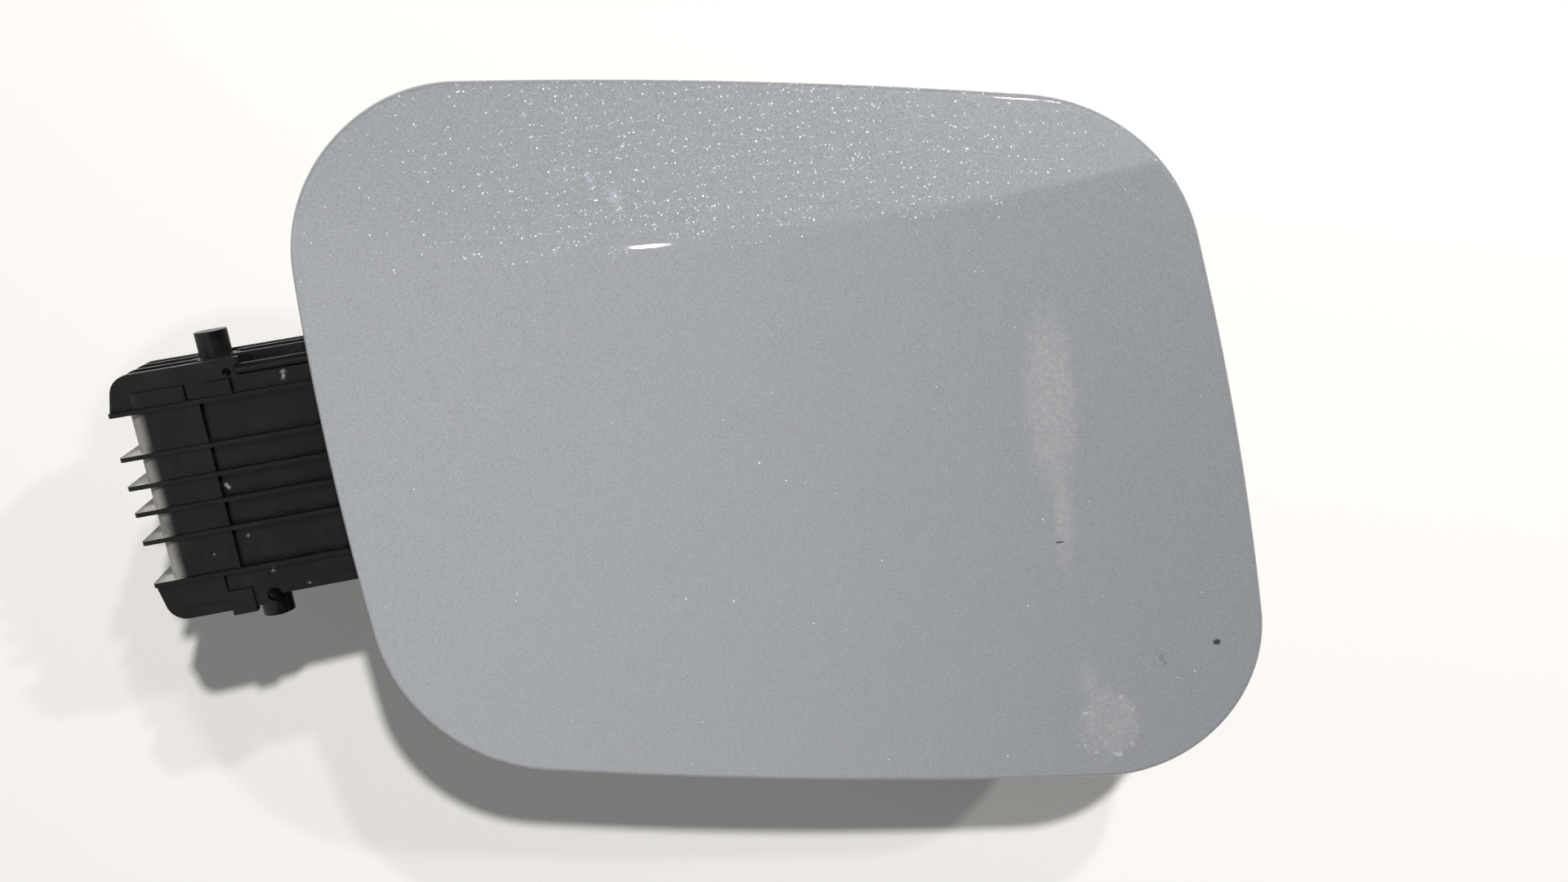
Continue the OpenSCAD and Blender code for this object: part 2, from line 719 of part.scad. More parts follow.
// Face of a brim or a side fin, narrower at its end, with a round outer corner
module brim_face(h) {
    r = brim_corner_r;
    c = [brim_taper + r - housing_left, -r - edge_drop];
    foot = [-housing_left, -h];
    d = norm(c - foot);
    rise = atan2(c[1] - foot[1], c[0] - foot[0]) + asin(r / d);
    translate(c) circle(r, $fn = arc_fn);
    polygon([
        foot, foot + sqrt(d * d - r * r) * [cos(rise), sin(rise)], c, [c[0], -edge_drop],
        [housing_right, -edge_drop], [housing_right, -h]
    ]);
}

// One end of the housing, drawn at the top, with a brim that reaches down by h
module housing_end(h) {
    translate([0, 0, cheek_inner]) linear_extrude(cheek_t) web_plan();
    deep(-brim_front, brim_t - brim_front) brim_face(h);
    difference() {
        for (v = concat(fin_places, [housing_front + housing_back - fin_t]))
            translate([0, v - housing_front, 0]) deep(0, fin_t) intersection() {
                brim_face(h);
                translate([-lid_deep, cheek_face - cheek_t / 2]) square([3 * lid_deep, fin_h + cheek_t]);
            }
        translate([0, 0, cheek_face]) cylinder(r = shoulder_r, h = fin_h + 1, $fn = arc_fn);
    }
    translate([0, 0, cheek_inner])
        cylinder(r = shoulder_r, h = cheek_t + fin_h - shoulder_drop, $fn = arc_fn);
    translate([0, 0, -shoulder_drop - eps])
        cylinder(r = stud_r, h = stud_len + shoulder_drop + eps, $fn = arc_fn);
}

// Raised half of the front wall, the platforms on the brims, the ledge and the stop lug
module front_relief() {
    front_block([platform_end - brim_t, step_at], [rib_mid - rib_outer, rib_mid + rib_outer], web_front);
    front_block([platform_end - brim_t, upper_platform_end], [rib_mid + rib_outer, cheek_face], web_front);
    front_block(ledge, [rib_mid + rib_outer, ledge_top], brim_front + ledge_h);
    front_block(lug, [lug_end, low_platform_w + brim_t], brim_front + rib_front_h);
    deep(-web_front, brim_t - brim_front) {
        translate([-web_left, low_platform_w + low_platform_r])
            square([platform_end + web_left, brim_corner_r]);
        translate([low_platform_r - web_left, low_platform_w])
            square([platform_end + web_left - low_platform_r, low_platform_r]);
        translate([low_platform_r - web_left, low_platform_w + low_platform_r])
            circle(low_platform_r, $fn = arc_fn);
    }
    translate([bead_start, -brim_front, bead_w]) {
        sphere(bead_r, $fn = arc_fn);
        rotate([0, 90, 0]) cylinder(r = bead_r, h = housing_right - bead_start, $fn = arc_fn);
    }
}

// What is cut from the brims at the side of the lid
module brim_cuts() {
    translate([bead_start, -housing_front, bead_w])
        cube([housing_right, housing_front - brim_front + brim_t + eps, lid_deep]);
    translate([lower_hole[0], -housing_front, lower_hole[1] - lid_deep])
        cube([housing_right, housing_front - brim_front + brim_t + eps, lid_deep]);
    for (hole = [[upper_hole, upper_hole_r], [lower_hole, lower_hole_r]])
        deep(-housing_front, brim_t - brim_front + eps) translate(hole[0]) circle(hole[1], $fn = arc_fn);
}

// Hinge housing: a ribbed box with brims, two cheeks with side fins, and the studs
module hinge_housing() {
    color([0.13, 0.13, 0.14]) difference() {
        union() {
            on_housing() {
                translate([0, 0, fin_h - housing_len]) linear_extrude(housing_len - 2 * fin_h) difference() {
                    web_plan();
                    room_plan();
                }
                for (w = [rib_inner, rib_middle, rib_outer]) for (side = [-1, 1])
                    translate([0, 0, rib_mid + side * w]) housing_rib();
                difference() {
                    union() {
                        housing_end(-rib_mid - rib_outer);
                        translate([0, 0, -housing_len]) mirror([0, 0, 1])
                            housing_end(housing_len + rib_mid - rib_outer);
                    }
                    brim_cuts();
                }
                front_relief();
                spring_lips();
            }
            on_hinge() housing_stop();
        }
        on_hinge() translate([0, 0, -housing_len - stud_len - 1])
            cylinder(r = pin_d / 2 + fit_gap, h = housing_len + stud_len + 1 - pin_blind, $fn = arc_fn);
    }
}

// Rib inside the front wall that the arm's buffer meets
module housing_stop() {
    foot_v = stop_rib[0] * tan(housing_turn) - room_front / cos(housing_turn) - housing_wall / 2;
    translate([stop_rib[0], foot_v, mid_w - buffer_size[1] / 2])
        cube([stop_rib[1] - stop_rib[0], stop_v - foot_v, buffer_size[1]]);
}

// Lips at the back of the side wall that keep the spring in
module spring_lips() {
    lip_v = spring_end_v + lip_gap;
    for (side = [-1, 1])
        translate([housing_wall - web_left - eps, lip_v, mid_w + side * lip_place - lip_w / 2])
            cube([spring_t + lip_reach, housing_back - lip_v, lip_w]);
}

module hinge_pin() {
    color([0.78, 0.78, 0.77]) on_hinge() translate([0, 0, -housing_len - stud_len + shoulder_drop])
        cylinder(d = pin_d, h = housing_len + stud_len - shoulder_drop - pin_blind - tip_gap, $fn = arc_fn);
}

// Hold spring: a steel hairpin strip between the housing's side wall and the arm's eye
module hold_spring() {
    left = housing_wall - web_left;
    right = -spring_in;
    color([0.6, 0.6, 0.58]) on_housing() translate([0, 0, mid_w - eye_w / 2]) linear_extrude(eye_w) {
        translate([left + fit_gap, spring_bend_v]) square([spring_t, spring_end_v - spring_bend_v]);
        translate([right - spring_t, spring_bend_v]) square([spring_t, spring_end_v - spring_bend_v]);
        translate([(left + fit_gap + right) / 2, spring_bend_v]) intersection() {
            difference() {
                circle((right - left - fit_gap) / 2, $fn = arc_fn);
                circle((right - left - fit_gap) / 2 - spring_t, $fn = arc_fn);
            }
            translate([-web_left, -web_left]) square([2 * web_left, web_left]);
        }
    }
}

lid_skin();
inner_carrier();
swing_arm();
hinge_housing();
hinge_pin();
hold_spring();
stop_buffer();
arm_screws();
striker();
striker_screws();
cap_holder();
bump_stop(0);  // bump_stop_1
bump_stop(1);  // bump_stop_2
bump_stop(2);  // bump_stop_3
bump_stop(3);  // bump_stop_4
panel_clip(0);  // panel_clip_1
panel_clip(1);  // panel_clip_2
panel_clip(2);  // panel_clip_3
panel_clip(3);  // panel_clip_4
panel_clip(4);  // panel_clip_5
panel_clip(5);  // panel_clip_6
foam_pad(0);  // foam_pad_1
foam_pad(1);  // foam_pad_2
foam_pad(2);  // foam_pad_3
foam_pad(3);  // foam_pad_4
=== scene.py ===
"""Looks of the fuel door: the painted lid, the dusty black hinge housing and the parts behind the lid.

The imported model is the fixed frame. This script gives its pieces their finishes, puts a smooth, finely
rounded skin in place of the plain lid skin, and sets up the pale table, the soft light and the camera.
"""

import json
import logging
import math
from collections.abc import Sequence
from dataclasses import dataclass
from enum import Enum
from typing import Union

import bmesh
import bpy
from mathutils import Matrix, Vector

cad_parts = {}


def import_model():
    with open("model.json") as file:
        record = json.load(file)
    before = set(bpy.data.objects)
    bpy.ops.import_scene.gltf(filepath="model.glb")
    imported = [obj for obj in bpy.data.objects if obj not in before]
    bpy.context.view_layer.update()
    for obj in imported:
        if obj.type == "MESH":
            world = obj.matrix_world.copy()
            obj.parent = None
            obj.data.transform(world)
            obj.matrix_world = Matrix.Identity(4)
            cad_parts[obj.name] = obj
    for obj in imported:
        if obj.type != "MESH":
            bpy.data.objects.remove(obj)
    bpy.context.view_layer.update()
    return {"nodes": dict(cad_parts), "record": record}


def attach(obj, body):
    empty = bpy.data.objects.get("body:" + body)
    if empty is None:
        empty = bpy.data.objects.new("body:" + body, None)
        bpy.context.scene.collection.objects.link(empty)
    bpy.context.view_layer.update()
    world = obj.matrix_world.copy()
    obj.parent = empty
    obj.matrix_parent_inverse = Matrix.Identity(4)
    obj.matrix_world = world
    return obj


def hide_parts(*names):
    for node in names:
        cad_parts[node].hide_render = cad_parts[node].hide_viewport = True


Triple = tuple[float, float, float]
Socket = bpy.types.NodeSocket
NodeValue = Union[float, Sequence[float], Vector, bpy.types.NodeSocket]
OutlinePoint = tuple[Vector, Vector, float]
SkinPoint = tuple[Vector, Vector]

LOG = logging.getLogger("fuel_door")
MM = 0.001
DOOR_BODY = "door"
PLAIN_SKIN = "lid_skin"

# Directions of the housing in the part's frame: along its pin, across its front, and into it
HOUSING_LEAN = math.radians(8.6)
HOUSING_TURN = math.radians(8.6)
HOUSING_ALONG = (-math.sin(HOUSING_LEAN), 0.0, math.cos(HOUSING_LEAN))
HOUSING_ACROSS = (math.cos(HOUSING_TURN) * math.cos(HOUSING_LEAN), math.sin(HOUSING_TURN),
                  math.cos(HOUSING_TURN) * math.sin(HOUSING_LEAN))
HOUSING_DEEP = (-math.sin(HOUSING_TURN) * math.cos(HOUSING_LEAN), math.cos(HOUSING_TURN),
                -math.sin(HOUSING_TURN) * math.sin(HOUSING_LEAN))


class Slot(Enum):
    """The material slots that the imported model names."""

    PAINT = "paint"
    HOUSING = "housing_plastic"
    ARM = "arm_plastic"
    CARRIER = "carrier_plastic"
    PIN = "pin_steel"
    SPRING = "spring_steel"
    ZINC = "zinc_steel"
    STRIKER = "striker_steel"
    RUBBER = "rubber"
    FOAM = "foam"


@dataclass(frozen=True)
class LidSize:
    """Sizes of the lid in millimetres, as in the part's source.

    The outline's points are measured across and up from the lid's middle. The margins keep the finer skin
    inside the plain one.
    """

    middle: Triple = (114.35, -22.0, -13.0)
    corner_r: tuple[float, ...] = (31.6, 35.7, 30.0, 35.9)
    bow_r: tuple[float, ...] = (1200.0, 700.0, 1800.0, 680.0)
    first_corner: tuple[float, float] = (-59.9, 34.2)
    top_span: float = 102.0
    bottom_span: float = 110.4
    hinge_side_rise: float = 67.5
    free_side_rise: float = 68.6
    side_lean: float = 14.2
    top_drop: float = 6.4
    skin_t: float = 2.5
    flange_d: float = 7.0
    crown_r: float = 1500.0
    facet_r: float = 2900.0
    facet_tilt: float = 11.0
    crease_roll: float = 5.7
    crease_z: float = 39.3
    rim_r: float = 1.1
    lip_r: float = 0.45
    root_r: float = 1.0
    edge_margin: float = 0.09
    face_margin: float = 0.03
    crease_sharp: float = 0.6
    crease_soft: float = 7.5
    crease_from: float = 78.0
    crease_length: float = 165.0


class LidSurface:
    """The lid's outline and its crowned, creased face."""

    SLOPE_STEP = 0.05

    def __init__(self, size: LidSize) -> None:
        """Works out the outline's arcs and the facet's centre.

        Args:
            size: sizes of the lid.
        """
        self.size = size
        top_left = Vector(size.first_corner)
        top_right = top_left + Vector((size.top_span, -size.top_drop))
        low_left = top_left + Vector((size.side_lean, -size.hinge_side_rise))
        low_right = Vector((low_left.x + size.bottom_span, top_right.y - size.free_side_rise))
        self.corners = [top_left, top_right, low_right, low_left]
        self.bows = [self._bow_centre(i) for i in range(4)]
        crease = Vector((0.0, self._crown_depth(0.0, size.crease_z), size.crease_z))
        tilt, roll = math.radians(size.facet_tilt), math.radians(size.crease_roll)
        axis = Vector((math.sin(tilt) * math.sin(roll), math.cos(tilt), -math.sin(tilt) * math.cos(roll)))
        self.facet_centre = crease + size.facet_r * axis

    def _bow_centre(self, i: int) -> Vector:
        """Centre of the arc that touches two corner rounds from outside.

        Args:
            i: number of the first corner; the second is the next one.
        Returns:
            The centre, across and up from the lid's middle.
        """
        size = self.size
        a, b = self.corners[i], self.corners[(i + 1) % 4]
        p, q = size.bow_r[i] - size.corner_r[i], size.bow_r[i] - size.corner_r[(i + 1) % 4]
        d = (b - a).length
        u = (b - a) / d
        s = (p * p - q * q + d * d) / (2.0 * d)
        return a + u * s + Vector((u.y, -u.x)) * math.sqrt(p * p - s * s)

    def _crown_depth(self, x: float, z: float) -> float:
        """Depth of the main crown, a large sphere, at a place across and up."""
        r = self.size.crown_r
        return r - math.sqrt(r * r - x * x - z * z)

    def _facet_depth(self, x: float, z: float) -> float:
        """Depth of the upper facet, a flatter sphere, at a place across and up."""
        c, r = self.facet_centre, self.size.facet_r
        return c.y - math.sqrt(r * r - (x - c.x) ** 2 - (z - c.z) ** 2)

    def depth(self, x: float, z: float) -> float:
        """Depth of the painted face, with a fold that is crisp at the free side and fades at the hinge.

        Args:
            x: place across from the lid's middle.
            z: place up from it.
        Returns:
            The depth behind the crown's foremost point.
        """
        size = self.size
        crown, facet = self._crown_depth(x, z), self._facet_depth(x, z)
        share = min(1.0, max(0.0, (size.crease_from - x) / size.crease_length))
        half = size.crease_sharp + size.crease_soft * share**3
        k = half * math.tan(math.radians(size.facet_tilt))
        h = max(k - abs(crown - facet), 0.0) / k
        return max(crown, facet) + h * h * k * 0.25

    def normal(self, x: float, z: float) -> Vector:
        """Outward unit normal of the painted face.

        Args:
            x: place across from the lid's middle.
            z: place up from it.
        Returns:
            The normal, which looks towards -Y.
        """
        e = self.SLOPE_STEP
        dx = (self.depth(x + e, z) - self.depth(x - e, z)) / (2 * e)
        dz = (self.depth(x, z + e) - self.depth(x, z - e)) / (2 * e)
        return Vector((dx, -1.0, dz)).normalized()

    def outline(self, steps: int) -> list[OutlinePoint]:
        """Points of the outline as (arc centre, outward direction, arc radius), evenly spread along it.

        Args:
            steps: how many points to make in all.
        Returns:
            One entry a point, clockwise from the top hinge-side corner.
        """
        size, spans = self.size, []
        for i in range(4):
            corner, before, after = self.corners[i], self.bows[(i + 3) % 4], self.bows[i]
            following = self.corners[(i + 1) % 4]
            spans.append((corner, size.corner_r[i], corner - before, corner - after))
            spans.append((after, size.bow_r[i], corner - after, following - after))
        arcs = []
        for centre, r, start, end in spans:
            a0, a1 = math.atan2(start.y, start.x), math.atan2(end.y, end.x)
            turn = math.remainder(a1 - a0, 2.0 * math.pi)
            arcs.append((centre, r, a0, turn, abs(turn) * r))
        total = sum(arc[4] for arc in arcs)
        points = []
        for k in range(steps):
            along = total * k / steps
            for centre, r, a0, turn, length in arcs:
                if along <= length:
                    a = a0 + turn * along / length
                    points.append((centre, Vector((math.cos(a), math.sin(a))), r))
                    break
                along -= length
        return points


class LidSkin:
    """The painted moulding: crowned face, rounded rim, flange that turns back, and its inner face.

    Its rings are placed point by point, because no operator follows the crown, the crease and the four
    bowed sides at once.
    """

    OUTLINE_STEPS = 520
    FACE_RINGS = 72
    FACE_SPREAD = 1.15
    RIM_STEPS = 6
    LIP_STEPS = 3
    FLANGE_SHARES = (0.35, 0.7)
    BACK_SHARES = (0.95, 0.85, 0.7, 0.55, 0.4, 0.25, 0.1)

    def __init__(self, size: LidSize) -> None:
        """Keeps the sizes and works out the surface.

        Args:
            size: sizes of the lid.
        """
        self.size = size
        self.surface = LidSurface(size)

    def _profile(self) -> list[Triple]:
        """The section at the rim, from the painted face round the flange to the inner face.

        Returns:
            Rows of (inset, depth behind the face, turn of the normal in degrees).
        """
        s, rows = self.size, []
        for k in range(self.RIM_STEPS + 1):
            a = math.radians(90.0 * k / self.RIM_STEPS)
            rows.append((s.rim_r * (1 - math.sin(a)), s.rim_r * (1 - math.cos(a)), math.degrees(a)))
        for share in self.FLANGE_SHARES:
            rows.append((0.0, s.rim_r + (s.flange_d - s.lip_r - s.rim_r) * share, 90.0))
        turns = [math.radians(90.0 * k / self.LIP_STEPS) for k in range(self.LIP_STEPS + 1)]
        for a in turns:
            rows.append((s.lip_r * (1 - math.cos(a)), s.flange_d - s.lip_r * (1 - math.sin(a)),
                         90.0 + math.degrees(a)))
        for a in turns:
            rows.append((s.skin_t - s.lip_r * (1 - math.sin(a)), s.flange_d - s.lip_r * (1 - math.cos(a)),
                         180.0 + math.degrees(a)))
        for a in turns:
            rows.append((s.skin_t + s.root_r * (1 - math.cos(a)), s.skin_t + s.root_r - s.root_r * math.sin(a),
                         270.0 - math.degrees(a)))
        return rows

    def _place(self, point: OutlinePoint, inset: float, behind: float, turn: float, share: float = 1.0) -> SkinPoint:
        """A place on the skin and its outward normal.

        Args:
            point: an outline entry.
            inset: how far inside the outline.
            behind: depth behind the painted face.
            turn: degrees from the face's normal towards the outward direction.
            share: scale towards the lid's middle, 1 at the outline.
        Returns:
            The place relative to the lid's middle, and the normal.
        """
        centre, way, r = point
        flat = (centre + (r - inset) * way) * share
        face = self.surface.normal(flat.x, flat.y)
        side = Vector((way.x, 0.0, way.y))
        a = math.radians(turn)
        normal = (math.cos(a) * face + math.sin(a) * side).normalized()
        return Vector((flat.x, self.surface.depth(flat.x, flat.y) + behind, flat.y)), normal

    def _rings(self) -> list[list[SkinPoint]]:
        """The skin's rings from the middle of the face, round the rim, to the middle of the inner face.

        Returns:
            One list of points a ring, all of the same length.
        """
        outline, profile = self.surface.outline(self.OUTLINE_STEPS), self._profile()
        first, last = profile[0][0] + self.size.edge_margin, profile[-1][0] + self.size.edge_margin
        rings = []
        for k in range(1, self.FACE_RINGS):
            share = math.sin(0.5 * math.pi * (k / self.FACE_RINGS)) ** self.FACE_SPREAD
            rings.append([self._place(p, first, 0.0, 0.0, share) for p in outline])
        for inset, behind, turn in profile:
            rings.append([self._place(p, inset + self.size.edge_margin, behind, turn) for p in outline])
        for share in self.BACK_SHARES:
            rings.append([self._place(p, last, self.size.skin_t, 180.0, share) for p in outline])
        return rings

    def build(self) -> bpy.types.Object:
        """Makes the closed skin as one mesh.

        Returns:
            The object, at the origin, its place in its vertices.
        """
        rings = self._rings()
        depth, normal = self.surface.depth(0.0, 0.0), self.surface.normal(0.0, 0.0)
        points = [(Vector((0.0, depth, 0.0)), normal)]
        points += [point for ring in rings for point in ring]
        points.append((Vector((0.0, depth + self.size.skin_t, 0.0)), -normal))
        middle = Vector(self.size.middle) + Vector((0.0, self.size.face_margin, 0.0))
        bm = bmesh.new()
        verts = [bm.verts.new((middle + place) * MM) for place, _ in points]
        n = len(rings[0])
        front, back = verts[0], verts[-1]
        loops = [verts[1 + n * i:1 + n * (i + 1)] for i in range(len(rings))]
        for k in range(n):
            after = (k + 1) % n
            bm.faces.new((front, loops[0][k], loops[0][after]))
            for inner, outer in zip(loops, loops[1:]):
                bm.faces.new((inner[k], outer[k], outer[after], inner[after]))
            bm.faces.new((back, loops[-1][after], loops[-1][k]))
        return finish_mesh("lid_face", bm, [way for _, way in points])


def finish_mesh(name: str, bm: bmesh.types.BMesh, normals: list[Vector] | None = None) -> bpy.types.Object:
    """Turns a bmesh into an object in the scene, smooth, its faces outward.

    Args:
        name: the piece's name.
        bm: the mesh under construction; it is freed.
        normals: one normal a vertex where the form's own are known.
    Returns:
        The new object.
    """
    bmesh.ops.recalc_face_normals(bm, faces=bm.faces[:])
    mesh = bpy.data.meshes.new(name)
    bm.to_mesh(mesh)
    bm.free()
    for polygon in mesh.polygons:
        polygon.use_smooth = True
    if normals is not None:
        mesh.normals_split_custom_set_from_vertices([tuple(v) for v in normals])
    obj = bpy.data.objects.new(name, mesh)
    bpy.context.scene.collection.objects.link(obj)
    return obj


@dataclass(frozen=True)
class BladeSize:
    """Sizes in millimetres of the blades behind the skin that the panel clips grip."""

    places: tuple[tuple[float, float], ...] = ((-28, 50), (24, 50), (70, 14), (42, -58), (-20, -56), (-76, 27))
    section: tuple[float, float] = (7.0, 3.0)
    start: float = 1.6
    end: float = 11.4
    tip: float = 0.8
    edge_r: float = 0.25


class ClipBlades:
    """Six tapered blades moulded behind the skin."""

    def __init__(self, size: BladeSize, surface: LidSurface) -> None:
        """Keeps the sizes and the surface that the blades stand behind.

        Args:
            size: sizes of the blades.
            surface: the lid's surface.
        """
        self.size = size
        self.surface = surface

    def _blade(self, bm: bmesh.types.BMesh, x: float, z: float) -> None:
        """Adds one blade: a block whose inner end is drawn out to a narrower tip.

        Args:
            bm: the mesh to add to.
            x: the blade's place across from the lid's middle.
            z: its place up from it.
        """
        size = self.size
        (wide, high), long = size.section, size.end - size.tip - size.start
        centre = Vector((x, self.surface.depth(x, z) + size.start + long / 2, z)) + Vector(self.surface.size.middle)
        at = Matrix.Translation(centre * MM) @ Matrix.Diagonal((wide * MM, long * MM, high * MM, 1.0))
        block = bmesh.ops.create_cube(bm, size=1.0, matrix=at)
        faces = {face for vert in block["verts"] for face in vert.link_faces}
        inner_end = max(faces, key=lambda face: face.calc_center_median().y)
        bmesh.ops.inset_region(bm, faces=[inner_end], thickness=size.tip * MM, depth=size.tip * MM,
                               use_even_offset=True)

    def build(self) -> bpy.types.Object:
        """Makes all blades as one piece.

        Returns:
            The object with the six blades.
        """
        bm = bmesh.new()
        for x, z in self.size.places:
            self._blade(bm, x, z)
        bmesh.ops.bevel(bm, geom=bm.edges[:], offset=self.size.edge_r * MM, segments=2, profile=0.5,
                        affect="EDGES", material=-1)
        return finish_mesh("clip_blades", bm)


class Tree:
    """A short way to write a material's nodes; lengths in its patterns are in millimetres."""

    EDGE_SAMPLES = 4

    def __init__(self, name: str) -> None:
        """Makes a material with a shader and the place of each point in millimetres.

        Args:
            name: the material's name.
        """
        self.material = bpy.data.materials.new(name)
        self.material.use_nodes = True
        self.nodes = self.material.node_tree.nodes
        self.links = self.material.node_tree.links
        self.nodes.clear()
        self.shader = self.nodes.new("ShaderNodeBsdfPrincipled")
        output = self.nodes.new("ShaderNodeOutputMaterial")
        self.links.new(self.shader.outputs["BSDF"], output.inputs["Surface"])
        coordinates = self.nodes.new("ShaderNodeTexCoord")
        self.place = self.vector("SCALE", coordinates.outputs["Object"], scale=1.0 / MM)

    def feed(self, socket: Socket, value: NodeValue) -> None:
        """Sets a socket to a number, a colour or another socket's output.

        Args:
            socket: the input to set.
            value: what it gets.
        """
        if isinstance(value, bpy.types.NodeSocket):
            self.links.new(value, socket)
        elif isinstance(value, (tuple, list, Vector)) and len(value) == 3 and socket.type == "RGBA":
            socket.default_value = (*value, 1.0)
        else:
            socket.default_value = value

    def vector(self, operation: str, a: NodeValue, b: NodeValue | None = None,
               scale: NodeValue | None = None) -> Socket:
        """A vector operation.

        Args:
            operation: its name in Blender.
            a: first vector.
            b: second vector, where the operation has one.
            scale: the factor of a SCALE.
        Returns:
            The result, a number for lengths and dot products.
        """
        node = self.nodes.new("ShaderNodeVectorMath")
        node.operation = operation
        self.feed(node.inputs[0], a)
        if b is not None:
            self.feed(node.inputs[1], b)
        if scale is not None:
            self.feed(node.inputs["Scale"], scale)
        return node.outputs["Value" if operation in ("LENGTH", "DOT_PRODUCT") else "Vector"]

    def math(self, operation: str, a: NodeValue, b: NodeValue = 0.0, clamp: bool = False) -> Socket:
        """An operation on numbers.

        Args:
            operation: its name in Blender.
            a: first number.
            b: second number.
            clamp: whether the result is kept between 0 and 1.
        Returns:
            The result.
        """
        node = self.nodes.new("ShaderNodeMath")
        node.operation = operation
        node.use_clamp = clamp
        self.feed(node.inputs[0], a)
        self.feed(node.inputs[1], b)
        return node.outputs[0]

    def ramp(self, value: NodeValue, low: float, high: float, to_low: float = 0.0, to_high: float = 1.0) -> Socket:
        """Maps a value smoothly between two limits to another range, clamped.

        Args:
            value: the value.
            low: where the ramp starts.
            high: where it ends.
            to_low: result up to the start.
            to_high: result from the end on.
        Returns:
            The mapped value.
        """
        node = self.nodes.new("ShaderNodeMapRange")
        node.interpolation_type = "SMOOTHSTEP"
        self.feed(node.inputs["Value"], value)
        for key, number in (("From Min", low), ("From Max", high), ("To Min", to_low), ("To Max", to_high)):
            node.inputs[key].default_value = number
        return node.outputs["Result"]

    def noise(self, scale: float, detail: float = 2.0, roughness: float = 0.5, at: Socket | None = None) -> Socket:
        """Noise in three dimensions.

        Args:
            scale: features a millimetre.
            detail: octaves of finer noise.
            roughness: weight of the finer octaves.
            at: where it is read; the point's own place if left out.
        Returns:
            The noise, between 0 and 1.
        """
        node = self.nodes.new("ShaderNodeTexNoise")
        self.feed(node.inputs["Vector"], self.place if at is None else at)
        node.inputs["Scale"].default_value = scale
        node.inputs["Detail"].default_value = detail
        node.inputs["Roughness"].default_value = roughness
        return node.outputs["Fac"]

    def cells(self, pitch: float, at: Socket) -> bpy.types.Node:
        """A pattern of irregular cells, each with its own colour.

        Args:
            pitch: width of a cell in millimetres.
            at: where it is read.
        Returns:
            The node, with its Color and Distance outputs.
        """
        node = self.nodes.new("ShaderNodeTexVoronoi")
        node.inputs["Scale"].default_value = 1.0 / pitch
        self.feed(node.inputs["Vector"], at)
        return node

    def split(self, colour: Socket) -> bpy.types.Node:
        """Takes a colour apart, for three independent levels a cell; returns the node."""
        node = self.nodes.new("ShaderNodeSeparateColor")
        self.feed(node.inputs["Color"], colour)
        return node

    def mix(self, factor: NodeValue, a: NodeValue, b: NodeValue) -> Socket:
        """A mix of two colours.

        Args:
            factor: share of the second colour.
            a: first colour.
            b: second colour.
        Returns:
            The mixed colour.
        """
        node = self.nodes.new("ShaderNodeMix")
        node.data_type = "RGBA"
        self.feed(node.inputs["Factor"], factor)
        self.feed(node.inputs["A"], a)
        self.feed(node.inputs["B"], b)
        return node.outputs["Result"]

    def bump(self, height: Socket, strength: float, distance: float, normal: Socket | None = None) -> Socket:
        """Normals bent by a height pattern.

        Args:
            height: the pattern.
            strength: share of the effect.
            distance: height of one step in millimetres.
            normal: the normals to start from.
        Returns:
            The bent normals.
        """
        node = self.nodes.new("ShaderNodeBump")
        node.inputs["Strength"].default_value = strength
        node.inputs["Distance"].default_value = distance * MM
        self.feed(node.inputs["Height"], height)
        if normal is not None:
            self.feed(node.inputs["Normal"], normal)
        return node.outputs["Normal"]

    def soft_edges(self, radius: float) -> Socket:
        """Normals rounded over sharp edges, as moulded and folded pieces have them.

        Args:
            radius: radius of the rounding in millimetres.
        Returns:
            The rounded normals.
        """
        node = self.nodes.new("ShaderNodeBevel")
        node.samples = self.EDGE_SAMPLES
        node.inputs["Radius"].default_value = radius * MM
        return node.outputs["Normal"]

    def set(self, **values: NodeValue) -> None:
        """Feeds the shader's own sockets, named with underscores for spaces."""
        for key, value in values.items():
            self.feed(self.shader.inputs[key.replace("_", " ")], value)


@dataclass(frozen=True)
class Mark:
    """A mark on the paint, in millimetres across and up from the lid's middle, its turn in degrees."""

    at: tuple[float, float]
    reach: tuple[float, float]
    turn: float = 0.0
    ragged: float = 0.35
    edge: float = 0.25


@dataclass(frozen=True)
class PaintMarks:
    """The wear that the photograph shows on the paint."""

    chips: tuple[Mark, ...] = (
        Mark((85.3, -41.5), (0.8, 0.72), 20.0),
        Mark((53.0, -20.3), (0.85, 0.16), -6.0, 0.2),
    )
    dark_rubs: tuple[Mark, ...] = (Mark((74.7, -44.6), (0.8, 2.6), -30.0, 0.9, 0.8),)
    pale_rubs: tuple[Mark, ...] = (
        Mark((65.0, -58.0), (6.2, 8.5), -8.0, 0.25, 0.4),
        Mark((60.5, -50.0), (2.4, 6.0), -14.0, 0.4, 0.8),
        Mark((50.0, 7.5), (5.4, 19.0), -6.0, 0.26, 0.5),
        Mark((53.4, -15.0), (2.4, 12.0), -6.0, 0.35, 0.8),
    )
    rimmed_rub: Mark = Mark((65.0, -59.5), (5.8, 6.6), -8.0, 0.3, 0.2)
    blue_rubs: tuple[Mark, ...] = (
        Mark((-31.0, 45.0), (1.3, 2.6), -28.0, 0.9, 0.9),
        Mark((-35.6, 48.5), (0.6, 1.5), -40.0, 0.8, 0.9),
    )


